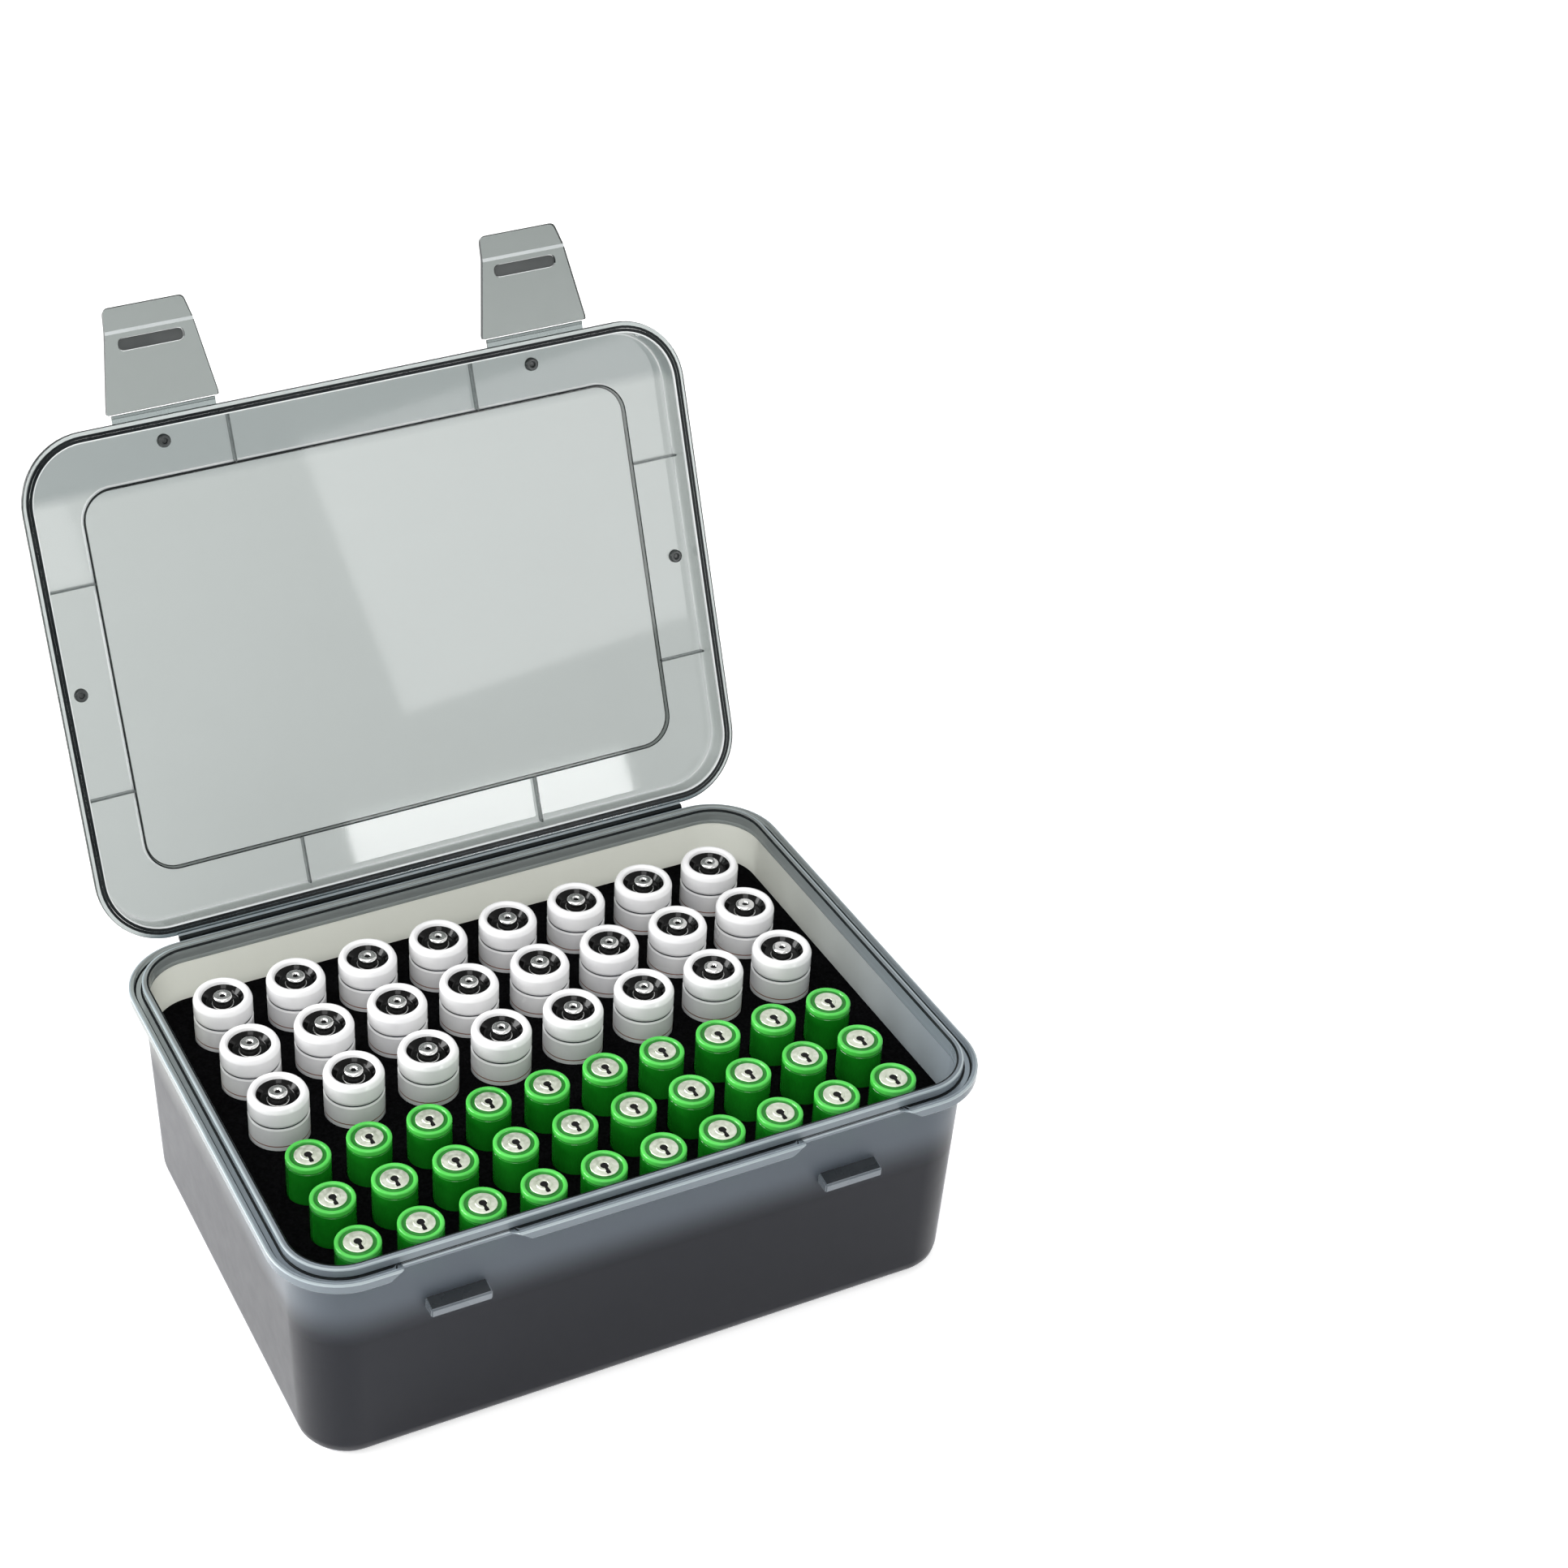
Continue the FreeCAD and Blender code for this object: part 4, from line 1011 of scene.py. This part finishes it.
# Cells
def aa_profile():
    """From the middle of an AA cell's foot up its sleeve to the middle of its button.

    Each corner is (radius, height, rounding, material after it).
    """
    top = AA_TOP
    foot = AA_TOP - AA_LENGTH
    line_foot, line_top = (top - depth for depth in AA_LINE_DEPTHS)
    groove_foot, groove_low, groove_high, groove_top = (top - depth for depth in AA_GROOVE_DEPTHS)
    return round_corners([
        (AXIS_RADIUS, foot, 0, SILVER),
        (AA_END_RADIUS, foot, 0.2, SILVER),
        (AA_END_SEAM_RADIUS, foot + AA_END_SEAM_RISE, 0.1, SILVER),
        (AA_SLEEVE_END_RADIUS, foot + AA_END_SEAM_RISE, 0.5, WHITE_PRINT),
        (AA_RADIUS, foot + AA_SLEEVE_END_RISE, 0.4, WHITE_PRINT),
        (AA_RADIUS, line_foot, 0, BROWN_LINE),
        (AA_RADIUS, line_top, 0, WHITE_PRINT),
        (AA_RADIUS, groove_foot, 0.15, WHITE_PRINT),
        (AA_RADIUS - AA_GROOVE_CUT, groove_low, 0, GREY_LINE),
        (AA_RADIUS - AA_GROOVE_CUT, groove_high, 0, WHITE_COLLAR),
        (AA_RADIUS, groove_top, 0.5, WHITE_COLLAR),
        (AA_RADIUS, top - AA_SHOULDER_DEPTH, 1.4, WHITE_COLLAR),
        (AA_CROWN_OUTER_RADIUS, top - AA_CROWN_OUTER_DEPTH, 0.8, WHITE_COLLAR),
        (AA_CROWN_RADIUS, top, 0.6, WHITE_COLLAR),
        (AA_CROWN_INNER_RADIUS, top - AA_CROWN_INNER_DEPTH, 0.4, WHITE_COLLAR),
        (AA_DISH_RADIUS, top - AA_DISH_DEPTH, 0.3, BLACK_RING_AND_SHADE),
        (AA_DISH_FLOOR_RADIUS, top - AA_DISH_FLOOR_DEPTH, 0.6, BLACK_RING_AND_SHADE),
        (AA_BUTTON_FOOT_RADIUS, top - AA_DISH_FLOOR_DEPTH, 0.15, SILVER),
        (AA_BUTTON_RADIUS, top - AA_BUTTON_DEPTH, 0.8, SILVER),
        (AA_DOT_RADIUS, top - AA_BUTTON_DEPTH, 0.3, SILVER),
        # The dimple in the button is painted black as shade
        (AA_DOT_FLOOR_RADIUS, top - AA_DOT_DEPTH, 0.2, BLACK_RING_AND_SHADE),
        (AXIS_RADIUS, top - AA_DOT_DEPTH, 0, BLACK_RING_AND_SHADE),
    ])


def aaa_profile():
    """From the middle of an AAA cell's foot to the middle of its cap, as for an AA cell."""
    top = AAA_TOP
    foot = AAA_TOP - AAA_LENGTH
    groove_foot, groove_low, groove_high, groove_top = (top - depth for depth in AAA_GROOVE_DEPTHS)
    return round_corners([
        (AXIS_RADIUS, foot, 0, SILVER),
        (AAA_END_RADIUS, foot, 0.2, SILVER),
        (AAA_END_SEAM_RADIUS, foot + AAA_END_SEAM_RISE, 0.1, SILVER),
        (AAA_SLEEVE_END_RADIUS, foot + AAA_END_SEAM_RISE, 0.4, GREEN_PRINT),
        (AAA_RADIUS, foot + AAA_SLEEVE_END_RISE, 0.3, GREEN_PRINT),
        (AAA_RADIUS, groove_foot, 0.2, GREEN_PRINT),
        (AAA_RADIUS - AAA_GROOVE_CUT, groove_low, 0.1, GREEN_PRINT),
        (AAA_RADIUS - AAA_GROOVE_CUT, groove_high, 0.1, GREEN_COLLAR_PAINTED_LIGHT),
        (AAA_RADIUS, groove_top, 0.2, GREEN_COLLAR_PAINTED_LIGHT),
        (AAA_RADIUS, top - AAA_COLLAR_DEPTH, 0.9, GREEN_COLLAR_PAINTED_LIGHT),
        (AAA_COLLAR_INNER_RADIUS, top - AAA_COLLAR_DEPTH, 0.35, GREEN_COLLAR_PAINTED_LIGHT),
        (AAA_RING_OUTER_RADIUS, top - AAA_RING_DEPTH, 0.15, GREEN_RING),
        (AAA_RING_INNER_RADIUS, top - AAA_RING_DEPTH, 0.15, GREEN_RING),
        (AAA_CAP_RADIUS, top - AAA_CAP_DEPTH, 0.2, PALE_CAP),
        (AAA_CAP_INNER_RADIUS, top - AAA_CAP_DEPTH, 0.15, PALE_CAP),
        (AAA_BUTTON_FOOT_RADIUS, top, 0.1, PALE_CAP),
        (AAA_BUTTON_RADIUS, top, 0.1, PALE_CAP),
        # The dot in the cap is painted black as shade
        (AAA_DOT_RADIUS, top - AAA_DOT_DEPTH, 0.1, BLACK_RING_AND_SHADE),
        (AXIS_RADIUS, top - AAA_DOT_DEPTH, 0, BLACK_RING_AND_SHADE),
    ])


def vent_part(x, y):
    """The short vent that runs from the middle of a small cell's cap towards the front, a black strip
    of painted shade.
    """
    low = (x - VENT_HALF_WIDTH, y - VENT_FAR, AAA_TOP - VENT_DEPTH)
    high = (x + VENT_HALF_WIDTH, y - VENT_NEAR, AAA_TOP + VENT_PROUD)
    return soft_box(low, high, VENT_ROUNDING, BLACK_RING_AND_SHADE)


def make_cell_row(kind, name, profile, columns, pitch, y):
    target = ([], [], [])
    for column in range(columns):
        x = (column - (columns - 1) / 2) * pitch
        add_part(target, lathe(profile, x, y, CELL_SIDES))
        if kind == "aaa":
            add_part(target, vent_part(x, y))
    row = new_piece(f"{kind}_cells_{name}", *target)
    finish_shading(row, CELL_SHARP_ANGLE)
    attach(row, f"{kind}_row_{name}")
    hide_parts(f"{kind}_row_{name}")


# Stage
def make_floor():
    mesh = bpy.data.meshes.new("floor")
    half = FLOOR_HALF
    mesh.from_pydata([(-half, -half, 0), (half, -half, 0), (half, half, 0), (-half, half, 0)], [],
                     [(0, 1, 2, 3)])
    floor = bpy.data.objects.new("floor", mesh)
    bpy.context.scene.collection.objects.link(floor)
    material = new_material("floor_white", (0.93, 0.93, 0.93), roughness=0.9, specular=0.1)
    shader_of(material).inputs["Emission Color"].default_value = (1, 1, 1, 1)
    shader_of(material).inputs["Emission Strength"].default_value = FLOOR_GLOW
    vary_colour(material, add_noise(material, scale=30, detail=2), (0.925, 0.925, 0.925),
                (0.935, 0.935, 0.935))
    mesh.materials.append(material)


def make_light(name, place, aim, size, power, roll=0):
    """A soft light that faces its aim, hidden from the camera, with its roll in degrees."""
    light = bpy.data.lights.new(name, "AREA")
    light.shape = "RECTANGLE"
    light.size, light.size_y = size
    light.energy = power
    holder = bpy.data.objects.new(name, light)
    holder.location = place
    facing = (Vector(aim) - Vector(place)).to_track_quat("-Z", "Y")
    holder.rotation_euler = (facing @ Quaternion((0, 0, 1), math.radians(roll))).to_euler()
    holder.visible_camera = False
    bpy.context.scene.collection.objects.link(holder)


def make_lights():
    make_light("overhead", (-0.3, 0.1, 1.4), (0, 0, 0.05), size=(1.6, 1.6), power=6)
    make_light("left_wall", (-1.2, 0.55, 0.5), (0, 0, 0.03), size=(0.8, 0.8), power=24)
    make_light("front_key", (-0.6, -1.1, 1.1), (0, 0, 0.05), size=(0.7, 0.7), power=6)
    make_light("lid_sheen", (0.55, -1.0, 0.368), (0.55, 0, 0.368), size=(0.4, 0.2), power=0.7,
               roll=5)
    make_light("lid_foot", (0.40, -1.0, 0.155), (0.40, 0, 0.155), size=(0.20, 0.07), power=0.5)
    make_light("lid_corner", (0.162, -1.0, 0.411), (0.162, 0, 0.411), size=(0.03, 0.055),
               power=0.012)


def make_world():
    world = bpy.data.worlds.new("studio")
    world.use_nodes = True
    world.node_tree.nodes["Background"].inputs["Color"].default_value = (1, 1, 1, 1)
    world.node_tree.nodes["Background"].inputs["Strength"].default_value = WORLD_GLOW
    bpy.context.scene.world = world
    bpy.context.scene.view_settings.view_transform = "Standard"


def make_camera():
    """A camera at the photograph's viewing angle."""
    camera = bpy.data.cameras.new("camera")
    camera.sensor_width = CAMERA_SENSOR
    camera.lens = CAMERA_LENS
    camera.shift_x, camera.shift_y = CAMERA_SHIFT
    camera.clip_start = CAMERA_NEAR
    camera.clip_end = CAMERA_FAR
    level = math.cos(CAMERA_TILT)
    back = Vector((math.sin(CAMERA_TURN) * level, -math.cos(CAMERA_TURN) * level,
                   math.sin(CAMERA_TILT)))
    right = Vector((0, 0, 1)).cross(back).normalized()
    up = back.cross(right)
    across = right * math.cos(CAMERA_ROLL) + up * math.sin(CAMERA_ROLL)
    upright = up * math.cos(CAMERA_ROLL) - right * math.sin(CAMERA_ROLL)
    holder = bpy.data.objects.new("camera", camera)
    holder.matrix_world = Matrix.Translation(CAMERA_PLACE) @ Matrix(
        (across, upright, back)).transposed().to_4x4()
    bpy.context.scene.collection.objects.link(holder)
    bpy.context.scene.camera = holder


def dress_cad_nodes():
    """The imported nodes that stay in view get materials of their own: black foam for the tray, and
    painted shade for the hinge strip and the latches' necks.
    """
    for name, material in (("cell_tray", FOAM), ("hinge_strip", PAINTED_EDGE_SHADE),
                           ("latch_hinge_left", NECK_SHADED_PLASTIC),
                           ("latch_hinge_right", NECK_SHADED_PLASTIC)):
        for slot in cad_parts[name].material_slots:
            slot.material = material


dress_cad_nodes()
make_tub()
make_lid()
for name, side in (("left", -1), ("right", 1)):
    make_latch(name, side)
for name, y in AA_ROWS_Y.items():
    make_cell_row("aa", name, aa_profile(), AA_COLUMNS, AA_PITCH_X, y)
for name, y in AAA_ROWS_Y.items():
    make_cell_row("aaa", name, aaa_profile(), AAA_COLUMNS, AAA_PITCH_X, y)
make_floor()
make_lights()
make_world()
make_camera()
